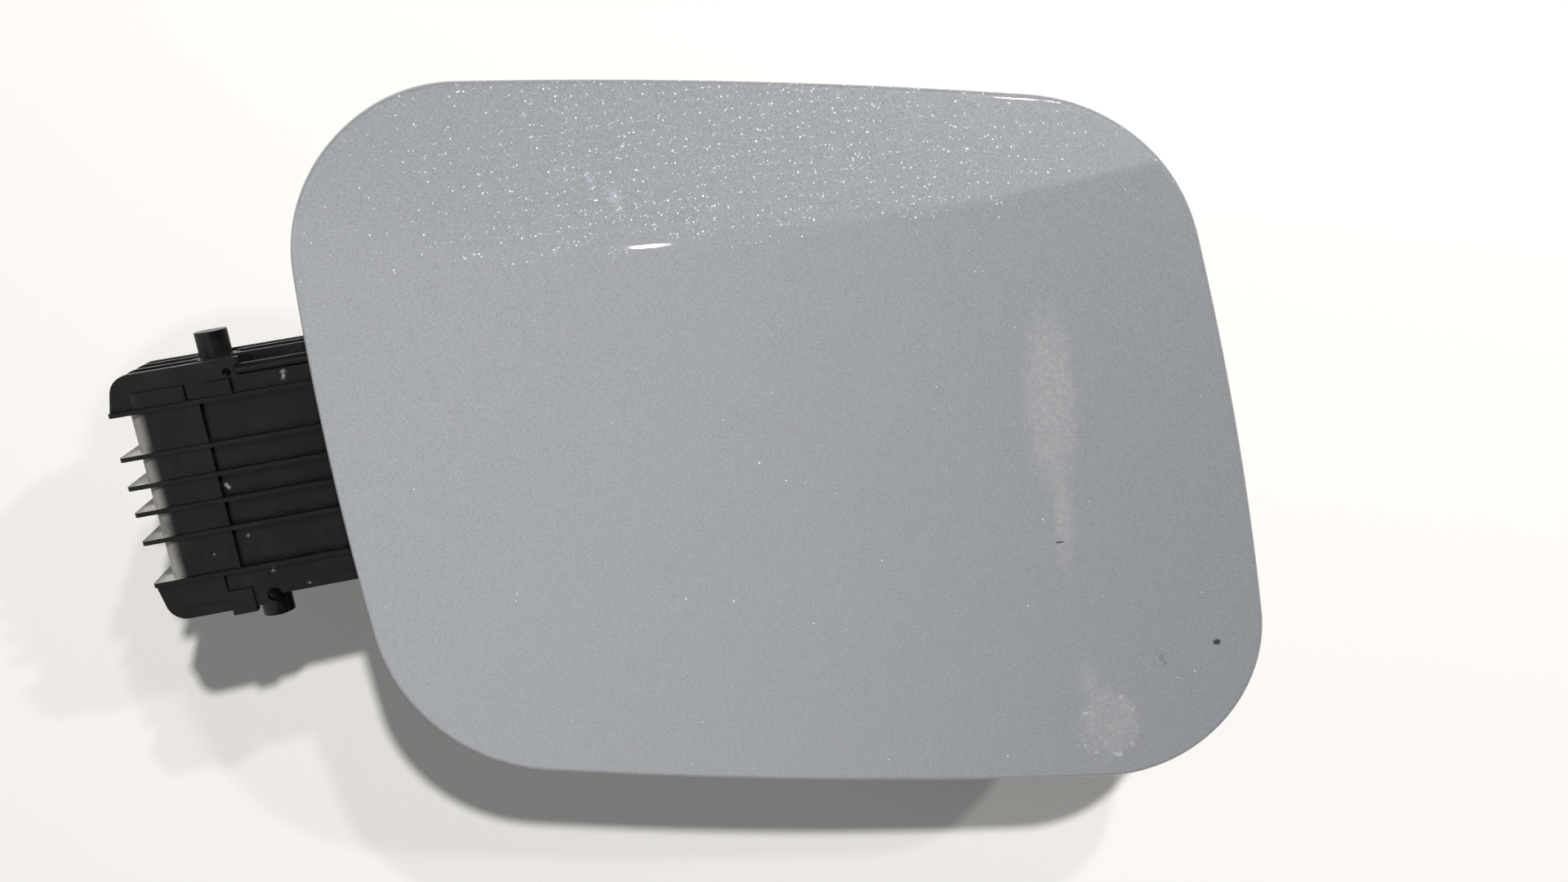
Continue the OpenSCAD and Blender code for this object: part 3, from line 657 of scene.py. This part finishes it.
@dataclass(frozen=True)
class PaintedGlints:
    """Painted glints of flakes catching the light, thick on the upper facet and rare below its crease."""

    pitch: float = 0.42
    colour: Triple = (0.97, 0.98, 1.0)
    crease_slope: float = 0.1
    crease_band: tuple[float, float] = (34.0, 44.0)
    middle: float = -8.0
    fade: tuple[float, float] = (20.0, 78.0)
    far_share: float = 0.12
    facet_share: float = 0.2
    rest_share: float = 0.0018
    least_size: float = 0.22
    size_spread: float = 0.32
    dim: float = 0.22

    def build(self, t: Tree, local: Socket) -> Socket:
        """Makes the mask of the painted glints.

        Args:
            t: the paint's nodes.
            local: place from the lid's middle.
        Returns:
            How bright a flake is at each point, 0 between the flakes.
        """
        cells = t.cells(self.pitch, local)
        level = t.split(cells.outputs["Color"])
        axes = t.nodes.new("ShaderNodeSeparateXYZ")
        t.feed(axes.inputs["Vector"], local)
        over_crease = t.ramp(t.math("SUBTRACT", axes.outputs["Z"],
                                    t.math("MULTIPLY", axes.outputs["X"], self.crease_slope)), *self.crease_band)
        near_middle = t.ramp(t.math("ABSOLUTE", t.math("SUBTRACT", axes.outputs["X"], self.middle)),
                             *self.fade, 1.0, self.far_share)
        thick = t.math("MULTIPLY", over_crease, near_middle)
        share = t.math("ADD", t.math("MULTIPLY", thick, self.facet_share), self.rest_share)
        lit = t.math("GREATER_THAN", t.math("ADD", level.outputs["Green"], share), 1.0)
        size = t.math("ADD", t.math("MULTIPLY", level.outputs["Blue"], self.size_spread), self.least_size)
        dot = t.ramp(t.math("DIVIDE", cells.outputs["Distance"], size), 0.6, 1.0, 1.0, 0.0)
        bright = t.ramp(level.outputs["Red"], 0.3, 1.0, self.dim, 1.0)
        return t.math("MULTIPLY", t.math("MULTIPLY", lit, dot), bright)


@dataclass(frozen=True)
class MetallicPaint:
    """Pale grey-blue base coat with fine metal flake under a smooth clear coat, painted glints and its wear."""

    name: str = "lid_paint"
    colour: Triple = (0.25, 0.262, 0.279)
    cloud_shade: float = 0.92
    flake_pitch: float = 0.16
    flake_turn: float = 0.17
    flake_levels: tuple[float, float] = (0.86, 1.14)
    painted_glints: PaintedGlints = PaintedGlints()
    marks: PaintMarks = PaintMarks()
    pale_colour: Triple = (0.62, 0.62, 0.62)
    pale_strength: float = 0.28
    rim_strength: float = 0.6
    blue_colour: Triple = (0.5, 0.57, 0.72)
    blue_strength: float = 0.28
    dark_colour: Triple = (0.12, 0.125, 0.13)
    dark_strength: float = 0.8
    chip_colour: Triple = (0.006, 0.006, 0.007)
    chip_deep: float = 0.12
    metal: float = 0.08
    gloss_loss: float = 0.56
    rub_gloss_loss: float = 0.25
    coat: float = 0.7
    coat_gloss_loss: float = 0.03
    peel: float = 0.012

    def build(self, middle: Triple) -> bpy.types.Material:
        """Makes the material.

        Args:
            middle: the lid's middle in millimetres, where the marks are measured from.
        Returns:
            The paint material.
        """
        t = Tree(self.name)
        local = t.vector("SUBTRACT", t.place, middle)
        flakes = t.cells(self.flake_pitch, t.place)
        lean = t.vector("SUBTRACT", flakes.outputs["Color"], (0.5, 0.5, 0.5))
        geometry = t.nodes.new("ShaderNodeNewGeometry")
        normal = t.vector("NORMALIZE", t.vector("ADD", geometry.outputs["Normal"],
                                                t.vector("SCALE", lean, scale=self.flake_turn)))
        cloud = t.ramp(t.noise(0.035, 2.0), 0.3, 0.7, 0.0, 0.1)
        colour = t.mix(cloud, self.colour, tuple(c * self.cloud_shade for c in self.colour))
        grains = t.split(flakes.outputs["Color"])
        colour = t.vector("SCALE", colour, scale=t.ramp(grains.outputs["Red"], 0.0, 1.0, *self.flake_levels))
        # Painted glints: near-white dots mixed into the base colour where the flakes would catch the light
        colour = t.mix(self.painted_glints.build(t, local), colour, self.painted_glints.colour)
        pale = self._pale(t, local)
        colour = t.mix(pale, colour, self.pale_colour)
        blue = t.math("MULTIPLY", self._marks(t, local, self.marks.blue_rubs, 0.9), self.blue_strength)
        colour = t.mix(blue, colour, self.blue_colour)
        dark = t.math("MULTIPLY", self._marks(t, local, self.marks.dark_rubs, 1.6),
                      t.ramp(t.noise(1.6, 4.0, 0.7), 0.44, 0.58, 0.0, self.dark_strength))
        colour = t.mix(dark, colour, self.dark_colour)
        chip = self._marks(t, local, self.marks.chips, 0.7)
        colour = t.mix(chip, colour, self.chip_colour)
        sound = t.math("SUBTRACT", 1.0, t.math("MAXIMUM", chip, pale), clamp=True)
        height = t.math("MULTIPLY", chip, -1.0)
        coat_height = t.math("ADD", t.math("MULTIPLY", t.noise(0.22, 1.0), self.peel), height)
        coat_height = t.math("ADD", coat_height, t.math("MULTIPLY", pale, t.noise(1.4, 5.0, 0.7)))
        t.set(
            Base_Color=colour,
            Metallic=t.math("MULTIPLY", sound, self.metal),
            Roughness=t.math("ADD", self.gloss_loss, t.math("MULTIPLY", pale, self.rub_gloss_loss), clamp=True),
            IOR=1.5,
            Normal=t.bump(height, 1.0, self.chip_deep, normal),
            Coat_Weight=self.coat,
            Coat_Roughness=self.coat_gloss_loss,
            Coat_Normal=t.bump(coat_height, 1.0, 0.1),
        )
        return t.material

    def _pale(self, t: Tree, local: Socket) -> Socket:
        """Strength of the pale, streaky rubs.

        Args:
            t: the paint's nodes.
            local: place from the lid's middle.
        Returns:
            Their mask.
        """
        pale = self._marks(t, local, self.marks.pale_rubs, 0.55)
        pale = t.math("MULTIPLY", pale, t.ramp(t.noise(0.9, 5.0, 0.7), 0.42, 0.72, 0.3, 1.0))
        rim = self._ring(t, local, self.marks.rimmed_rub)
        return t.math("MAXIMUM", t.math("MULTIPLY", pale, self.pale_strength),
                      t.math("MULTIPLY", rim, self.rim_strength))

    @staticmethod
    def _reach(t: Tree, local: Socket, mark: Mark, grain: float) -> Socket:
        """Distance from a mark's middle in shares of its reach, made uneven by noise.

        Args:
            t: the paint's nodes.
            local: place from the lid's middle.
            mark: the mark.
            grain: features of the noise a millimetre.
        Returns:
            The distance, 1 at the mark's edge.
        """
        mapping = t.nodes.new("ShaderNodeMapping")
        mapping.vector_type = "TEXTURE"
        t.feed(mapping.inputs["Vector"], local)
        mapping.inputs["Location"].default_value = (mark.at[0], 0.0, mark.at[1])
        mapping.inputs["Rotation"].default_value = (0.0, math.radians(mark.turn), 0.0)
        mapping.inputs["Scale"].default_value = (mark.reach[0], 1000.0, mark.reach[1])
        distance = t.vector("LENGTH", mapping.outputs["Vector"])
        unrest = t.math("SUBTRACT", t.noise(grain, 3.0, 0.6, at=local), 0.5)
        return t.math("ADD", distance, t.math("MULTIPLY", unrest, mark.ragged * 3.0))

    def _marks(self, t: Tree, local: Socket, marks: tuple[Mark, ...], grain: float) -> Socket:
        """One mask for several marks.

        Args:
            t: the paint's nodes.
            local: place from the lid's middle.
            marks: the marks.
            grain: features of their edges' noise a millimetre.
        Returns:
            The mask, 1 inside the marks.
        """
        mask = None
        for mark in marks:
            one = t.ramp(self._reach(t, local, mark, grain), 1.0 - mark.edge, 1.0 + mark.edge * 0.3, 1.0, 0.0)
            mask = one if mask is None else t.math("MAXIMUM", mask, one)
        return mask

    def _ring(self, t: Tree, local: Socket, mark: Mark) -> Socket:
        """The pale, broken edge round a rub.

        Args:
            t: the paint's nodes.
            local: place from the lid's middle.
            mark: the rub.
        Returns:
            The edge's mask.
        """
        distance = self._reach(t, local, mark, 0.45)
        band = t.math("MULTIPLY", t.ramp(distance, 1.0 - mark.edge, 1.0),
                      t.ramp(distance, 1.0, 1.0 + mark.edge * 0.5, 1.0, 0.0))
        return t.math("MULTIPLY", band, t.ramp(t.noise(0.8, 4.0, 0.7), 0.47, 0.66))


@dataclass(frozen=True)
class Moulding:
    """A black or grey moulded plastic with eroded grain, dust and rounded edges."""

    name: str
    colour: Triple = (0.004, 0.004, 0.0043)
    gloss_loss: float = 0.3
    edge_r: float = 0.25
    dust: float = 0.5
    dust_colour: Triple = (0.1, 0.098, 0.092)
    grain: float = 3.2
    shine: float = 0.08

    def build(self) -> bpy.types.Material:
        """Makes the material.

        Returns:
            The plastic.
        """
        t = Tree(self.name)
        rounded = t.soft_edges(self.edge_r)
        cloud = t.noise(0.09, 4.0, 0.62)
        settle = t.ramp(cloud, 0.42, 0.74, 0.0, self.dust)
        dust_and_painted_highlight = t.math("ADD", t.math("MULTIPLY", settle, t.ramp(t.noise(1.1, 3.0, 0.6), 0.3, 0.8, 0.2, 0.8)),
                      0.02 * self.dust)
        crumbs = t.math("MULTIPLY", t.ramp(t.noise(0.62, 2.0, 0.5), 0.735, 0.765), 0.6 * self.dust)
        dust = t.math("MAXIMUM", dust_and_painted_highlight, crumbs)
        paler = tuple(c * 1.5 for c in self.colour)
        colour = t.mix(t.ramp(t.noise(0.4, 3.0), 0.3, 0.7, 0.0, 0.5), self.colour, paler)
        colour = self.soil(t, t.mix(dust, colour, self.dust_colour))
        rough = t.math("ADD", t.ramp(cloud, 0.3, 0.7, self.gloss_loss - 0.05, self.gloss_loss + 0.06),
                       t.math("MULTIPLY", dust, 0.35), clamp=True)
        height = t.math("ADD", t.noise(self.grain, 3.0, 0.6), t.math("MULTIPLY", crumbs, 3.0))
        t.set(Base_Color=colour, Roughness=rough, IOR=1.52, Specular_IOR_Level=self.shine,
              Normal=t.bump(height, 0.35, 0.05, rounded))
        return t.material

    def soil(self, t: Tree, colour: Socket) -> Socket:
        """Adds dirt in set places; a plain moulding has none, so it returns the colour as it is."""
        return colour


@dataclass(frozen=True)
class Fleck:
    """A fleck of dirt on the housing, in millimetres across from the pin and up from the upper seat."""

    across: float
    up: float
    reach: float


@dataclass(frozen=True)
class HousingMoulding(Moulding):
    """The housing's black plastic, with flecks on its front and a painted highlight, a pale band at the roots of its
    ribs.

    The painted highlight's limits are in millimetres: across, up and into the housing.
    """

    flecks: tuple[Fleck, ...] = (
        Fleck(14.4, -4.7, 0.75),
        Fleck(14.1, -5.6, 0.6),
        Fleck(-1.5, -25.0, 0.7),
        Fleck(-1.2, -25.8, 0.5),
        Fleck(0.3, -35.8, 0.4),
        Fleck(9.6, -47.6, 0.45),
        Fleck(3.3, -43.7, 0.4),
        Fleck(-6.4, -38.2, 0.35),
    )
    fleck_colour: Triple = (0.3, 0.31, 0.29)
    fleck_strength: float = 0.6
    highlight_from: tuple[float, float] = (-15.2, -12.4)
    rib_tips: tuple[float, float] = (-19.6, -16.4)
    highlight_ends: tuple[float, float] = (-42.2, -7.7)
    highlight_deep: tuple[float, float] = (-7.5, -4.0)
    rib_fronts: float = -11.85
    highlight_colour: Triple = (0.34, 0.33, 0.305)

    def soil(self, t: Tree, colour: Socket) -> Socket:
        """Adds the flecks and the painted highlight, a pale band for light catching the rounded corner.

        Args:
            t: the material's nodes.
            colour: the colour so far.
        Returns:
            The soiled colour.
        """
        across = t.vector("DOT_PRODUCT", t.place, HOUSING_ACROSS)
        along = t.vector("DOT_PRODUCT", t.place, HOUSING_ALONG)
        deep = t.vector("DOT_PRODUCT", t.place, HOUSING_DEEP)
        for fleck in self.flecks:
            away = t.nodes.new("ShaderNodeCombineXYZ")
            t.feed(away.inputs[0], t.math("SUBTRACT", across, fleck.across))
            t.feed(away.inputs[1], t.math("SUBTRACT", along, fleck.up))
            far = t.math("ADD", t.vector("LENGTH", away.outputs[0]), t.ramp(t.noise(1.3), 0.3, 0.7, -0.3, 0.3))
            share = t.ramp(far, fleck.reach * 0.5, fleck.reach, self.fleck_strength, 0.0)
            colour = t.mix(share, colour, self.fleck_colour)
        # Painted highlight: a pale band where light from the left would catch the rounded corner and the rib roots
        dust_and_painted_highlight = t.math("MULTIPLY", t.ramp(across, *self.highlight_from, 1.0, 0.0),
                      t.ramp(across, *self.rib_tips, 0.25, 1.0))
        between = t.math("MULTIPLY", t.math("GREATER_THAN", along, self.highlight_ends[0]),
                         t.math("LESS_THAN", along, self.highlight_ends[1]))
        dust_and_painted_highlight = t.math("MULTIPLY", dust_and_painted_highlight, between)
        dust_and_painted_highlight = t.math("MULTIPLY", dust_and_painted_highlight, t.ramp(deep, *self.highlight_deep, 1.0, 0.0))
        dust_and_painted_highlight = t.math("MULTIPLY", dust_and_painted_highlight, t.math("GREATER_THAN", deep, self.rib_fronts))
        dust_and_painted_highlight = t.math("MULTIPLY", dust_and_painted_highlight, t.ramp(t.noise(0.16, 4.0, 0.6), 0.3, 0.6, 0.45, 1.0))
        return t.mix(dust_and_painted_highlight, colour, self.highlight_colour)


@dataclass(frozen=True)
class Metal:
    """Ground, rolled or zinc-plated steel."""

    name: str
    colour: Triple = (0.56, 0.55, 0.53)
    gloss_loss: float = 0.3
    edge_r: float = 0.12
    stretch: Triple = (1.0, 1.0, 1.0)
    tint: Triple = (0.62, 0.58, 0.46)

    def build(self) -> bpy.types.Material:
        """Makes the material.

        Returns:
            The metal.
        """
        t = Tree(self.name)
        lines = t.noise(2.4, 4.0, 0.65, at=t.vector("MULTIPLY", t.place, self.stretch))
        cloud = t.noise(0.3, 3.0, 0.6)
        colour = t.mix(t.ramp(cloud, 0.4, 0.7, 0.0, 0.5), self.colour, self.tint)
        rough = t.math("ADD", t.ramp(lines, 0.3, 0.7, self.gloss_loss - 0.08, self.gloss_loss + 0.1),
                       t.ramp(cloud, 0.5, 0.8, 0.0, 0.1))
        t.set(Base_Color=colour, Metallic=1.0, Roughness=rough,
              Normal=t.bump(lines, 0.2, 0.02, t.soft_edges(self.edge_r)))
        return t.material


@dataclass(frozen=True)
class Soft:
    """Matt rubber or closed-cell foam; the grain is in features a millimetre, its height in millimetres."""

    name: str
    colour: Triple = (0.016, 0.016, 0.017)
    gloss_loss: float = 0.7
    grain: float = 3.0
    grain_high: float = 0.04
    edge_r: float = 0.2

    def build(self) -> bpy.types.Material:
        """Makes the material.

        Returns:
            The rubber or foam.
        """
        t = Tree(self.name)
        bloom = t.ramp(t.noise(0.25, 4.0, 0.6), 0.45, 0.8, 0.0, 0.4)
        colour = t.mix(bloom, self.colour, tuple(c * 2.6 + 0.01 for c in self.colour))
        height = t.noise(self.grain, 3.0, 0.6)
        rough = t.ramp(height, 0.3, 0.7, self.gloss_loss - 0.06, self.gloss_loss + 0.08)
        t.set(Base_Color=colour, Roughness=rough, IOR=1.52,
              Normal=t.bump(height, 0.4, self.grain_high, t.soft_edges(self.edge_r)))
        return t.material


def dress(obj: bpy.types.Object, material: bpy.types.Material) -> None:
    """Puts one material in every slot of an object.

    Args:
        obj: the piece.
        material: its finish.
    """
    if not obj.material_slots:
        obj.data.materials.append(material)
    for slot in obj.material_slots:
        slot.material = material
    LOG.info("%s: %s, %d faces", obj.name, material.name, len(obj.data.polygons))


class Lid:
    """The lid's painted skin and its blades; they ride on the door."""

    def __init__(self) -> None:
        """Sets the sizes and the finishes."""
        self.size = LidSize()
        self.skin = LidSkin(self.size)
        self.blades = ClipBlades(BladeSize(), self.skin.surface)
        self.paint = MetallicPaint()
        self.back = Moulding("skin_plastic", (0.05, 0.052, 0.056), dust=0.2)

    def build(self) -> None:
        """Makes the skin and the blades, paints them and puts them in place of the plain skin."""
        paint = self.paint.build(self.size.middle)
        face = self.skin.build()
        dress(face, paint)
        blades = self.blades.build()
        dress(blades, self.back.build())
        for piece in (face, blades):
            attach(piece, DOOR_BODY)
        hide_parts(PLAIN_SKIN)


class Hardware:
    """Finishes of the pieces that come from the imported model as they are."""

    FINISHES = {
        Slot.HOUSING: HousingMoulding(Slot.HOUSING.value, (0.003, 0.003, 0.0032), dust=0.16),
        Slot.ARM: Moulding(Slot.ARM.value, (0.009, 0.009, 0.0095), 0.42, dust=0.25),
        Slot.CARRIER: Moulding(Slot.CARRIER.value, (0.014, 0.014, 0.015), 0.5, dust=0.25),
        Slot.PIN: Metal(Slot.PIN.value, stretch=(1.0, 1.0, 6.0)),
        Slot.SPRING: Metal(Slot.SPRING.value, (0.2, 0.2, 0.21), 0.34, tint=(0.24, 0.2, 0.16)),
        Slot.ZINC: Metal(Slot.ZINC.value, (0.6, 0.6, 0.57), 0.36),
        Slot.STRIKER: Metal(Slot.STRIKER.value, (0.6, 0.59, 0.52), 0.33, stretch=(1.0, 1.0, 4.0)),
        Slot.RUBBER: Soft(Slot.RUBBER.value),
        Slot.FOAM: Soft(Slot.FOAM.value, (0.035, 0.035, 0.037), 0.85, grain=1.6, grain_high=0.08),
    }

    def __init__(self, nodes: dict[str, bpy.types.Object], slots: dict[str, str]) -> None:
        """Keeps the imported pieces.

        Args:
            nodes: the pieces by name.
            slots: the name of each piece's material slot.
        """
        self.nodes = nodes
        self.slots = slots

    def build(self) -> None:
        """Gives each piece the finish of its material slot."""
        built = {slot: finish.build() for slot, finish in self.FINISHES.items()}
        for name, obj in self.nodes.items():
            if name != PLAIN_SKIN:
                dress(obj, built[Slot(self.slots[name])])


@dataclass(frozen=True)
class Lamp:
    """A round soft lamp.

    Its direction is seen from the lid, in degrees to the right of the front and up; its distance and width
    are in metres, its power in watts.
    """

    name: str
    right: float
    up: float
    far: float
    width: float
    power: float
    colour: Triple = (1.0, 1.0, 1.0)


@dataclass(frozen=True)
class Studio:
    """Table, lights and camera, in metres and degrees in the frame of the part."""

    lid_middle: Triple = (0.11435, -0.022, -0.013)
    camera_rise: float = 13.5
    camera_far: float = 0.261
    camera_near_clip: float = 0.01
    lens: float = 31.875
    film_width: float = 36.0
    table_touch: Triple = (0.02, 0.0425, -0.045)
    table_tilt: float = 13.5
    table_span: float = 3.0
    table_colour: Triple = (0.92, 0.905, 0.885)
    room_colour: Triple = (0.97, 0.98, 1.0)
    room_light: float = 0.06
    wall_colour: Triple = (0.985, 0.985, 1.0)
    wall_way: Triple = (-0.62, -0.62, -0.48)
    wall_edge: float = 0.35
    wall_light: tuple[float, float] = (0.3, 2.9)
    backdrop_colour: Triple = (0.98, 0.96, 0.93)
    lamps: tuple[Lamp, ...] = (
        Lamp("key", -9.1, 5.8, 1.5, 0.05, 3.0, (1.0, 0.985, 0.95)),
        Lamp("overhead", 14.0, 37.0, 1.7, 0.08, 22.0, (1.0, 0.99, 0.97)),
        Lamp("right_high", 26.0, 50.0, 1.8, 0.08, 6.0, (1.0, 0.99, 0.97)),
        Lamp("right_side", 48.0, 32.0, 1.8, 0.08, 5.0, (1.0, 0.99, 0.98)),
        Lamp("left_side", -66.0, 12.0, 1.6, 0.4, 1.8, (0.98, 0.99, 1.0)),
        Lamp("back_fill", 170.0, 25.0, 1.8, 1.2, 34.0),
        Lamp("back_side", -130.0, 30.0, 1.8, 0.6, 16.0),
    )

    def build(self) -> None:
        """Makes everything round the part."""
        self._camera()
        self._table()
        self._world()
        for lamp in self.lamps:
            self._hang(lamp)
        bpy.context.scene.view_settings.view_transform = "Standard"
        LOG.info("studio: %d lamps", len(self.lamps))

    def _camera(self) -> None:
        """Puts the camera where the photograph was taken from."""
        rise = math.radians(self.camera_rise)
        camera = bpy.data.objects.new("camera", bpy.data.cameras.new("camera"))
        way = Vector((0.0, -math.cos(rise), math.sin(rise)))
        camera.location = Vector(self.lid_middle) + self.camera_far * way
        camera.rotation_euler = (math.radians(90.0) - rise, 0.0, 0.0)
        camera.data.lens = self.lens
        camera.data.sensor_width = self.film_width
        camera.data.sensor_fit = "HORIZONTAL"
        camera.data.clip_start = self.camera_near_clip
        bpy.context.scene.collection.objects.link(camera)
        bpy.context.scene.camera = camera

    def _hang(self, lamp: Lamp) -> None:
        """Hangs a lamp so that it shines on the lid.

        Args:
            lamp: the lamp.
        """
        right, up = math.radians(lamp.right), math.radians(lamp.up)
        way = Vector((math.sin(right) * math.cos(up), -math.cos(right) * math.cos(up), math.sin(up)))
        light = bpy.data.lights.new(lamp.name, "AREA")
        light.shape = "DISK"
        light.size = lamp.width
        light.energy = lamp.power
        light.color = lamp.colour
        obj = bpy.data.objects.new(lamp.name, light)
        obj.location = Vector(self.lid_middle) + lamp.far * way
        obj.rotation_euler = way.to_track_quat("Z", "Y").to_euler()
        bpy.context.scene.collection.objects.link(obj)

    def _table(self) -> None:
        """The pale table that the part lies on; it is seen only from its front and casts no shadow."""
        bm = bmesh.new()
        lean = Matrix.Rotation(math.radians(90.0 - self.table_tilt), 4, "X")
        bmesh.ops.create_grid(bm, x_segments=1, y_segments=1, size=self.table_span,
                              matrix=Matrix.Translation(self.table_touch) @ lean)
        mesh = bpy.data.meshes.new("table")
        bm.to_mesh(mesh)
        bm.free()
        table = bpy.data.objects.new("table", mesh)
        bpy.context.scene.collection.objects.link(table)
        material = bpy.data.materials.new("table_white")
        material.use_nodes = True
        nodes, links = material.node_tree.nodes, material.node_tree.links
        nodes.clear()
        output = nodes.new("ShaderNodeOutputMaterial")
        white = nodes.new("ShaderNodeBsdfDiffuse")
        white.inputs["Color"].default_value = (*self.table_colour, 1.0)
        clear = nodes.new("ShaderNodeBsdfTransparent")
        geometry = nodes.new("ShaderNodeNewGeometry")
        path = nodes.new("ShaderNodeLightPath")
        either = nodes.new("ShaderNodeMath")
        either.operation = "MAXIMUM"
        links.new(geometry.outputs["Backfacing"], either.inputs[0])
        links.new(path.outputs["Is Shadow Ray"], either.inputs[1])
        mix = nodes.new("ShaderNodeMixShader")
        links.new(either.outputs[0], mix.inputs[0])
        links.new(white.outputs[0], mix.inputs[1])
        links.new(clear.outputs[0], mix.inputs[2])
        links.new(mix.outputs[0], output.inputs["Surface"])
        mesh.materials.append(material)

    def _world(self) -> None:
        """Even pale light from all round, a brighter wall for glossy surfaces, and a near-white backdrop."""
        world = bpy.data.worlds.new("room")
        world.use_nodes = True
        bpy.context.scene.world = world
        nodes, links = world.node_tree.nodes, world.node_tree.links
        nodes.clear()
        output = nodes.new("ShaderNodeOutputWorld")
        room, wall, seen = [nodes.new("ShaderNodeBackground") for _ in range(3)]
        for light, colour in ((room, self.room_colour), (wall, self.wall_colour), (seen, self.backdrop_colour)):
            light.inputs["Color"].default_value = (*colour, 1.0)
        room.inputs["Strength"].default_value = self.room_light
        way = nodes.new("ShaderNodeTexCoord")
        towards = nodes.new("ShaderNodeVectorMath")
        towards.operation = "DOT_PRODUCT"
        towards.inputs[1].default_value = Vector(self.wall_way).normalized()
        links.new(way.outputs["Generated"], towards.inputs[0])
        glow = nodes.new("ShaderNodeMapRange")
        glow.interpolation_type = "SMOOTHSTEP"
        glow.inputs["From Min"].default_value = self.wall_edge
        glow.inputs["To Min"].default_value, glow.inputs["To Max"].default_value = self.wall_light
        links.new(towards.outputs["Value"], glow.inputs["Value"])
        links.new(glow.outputs["Result"], wall.inputs["Strength"])
        path = nodes.new("ShaderNodeLightPath")
        mirrored, mix = [nodes.new("ShaderNodeMixShader") for _ in range(2)]
        links.new(path.outputs["Is Glossy Ray"], mirrored.inputs[0])
        links.new(room.outputs[0], mirrored.inputs[1])
        links.new(wall.outputs[0], mirrored.inputs[2])
        links.new(path.outputs["Is Camera Ray"], mix.inputs[0])
        links.new(mirrored.outputs[0], mix.inputs[1])
        links.new(seen.outputs[0], mix.inputs[2])
        links.new(mix.outputs[0], output.inputs["Surface"])


def main() -> None:
    """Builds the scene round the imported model."""
    logging.basicConfig(level=logging.INFO)
    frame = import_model()
    slots = {part["node"]: part["material_slot"] for part in frame["record"]["subparts"]}
    Lid().build()
    Hardware(frame["nodes"], slots).build()
    Studio().build()


if __name__ == "__main__":
    main()
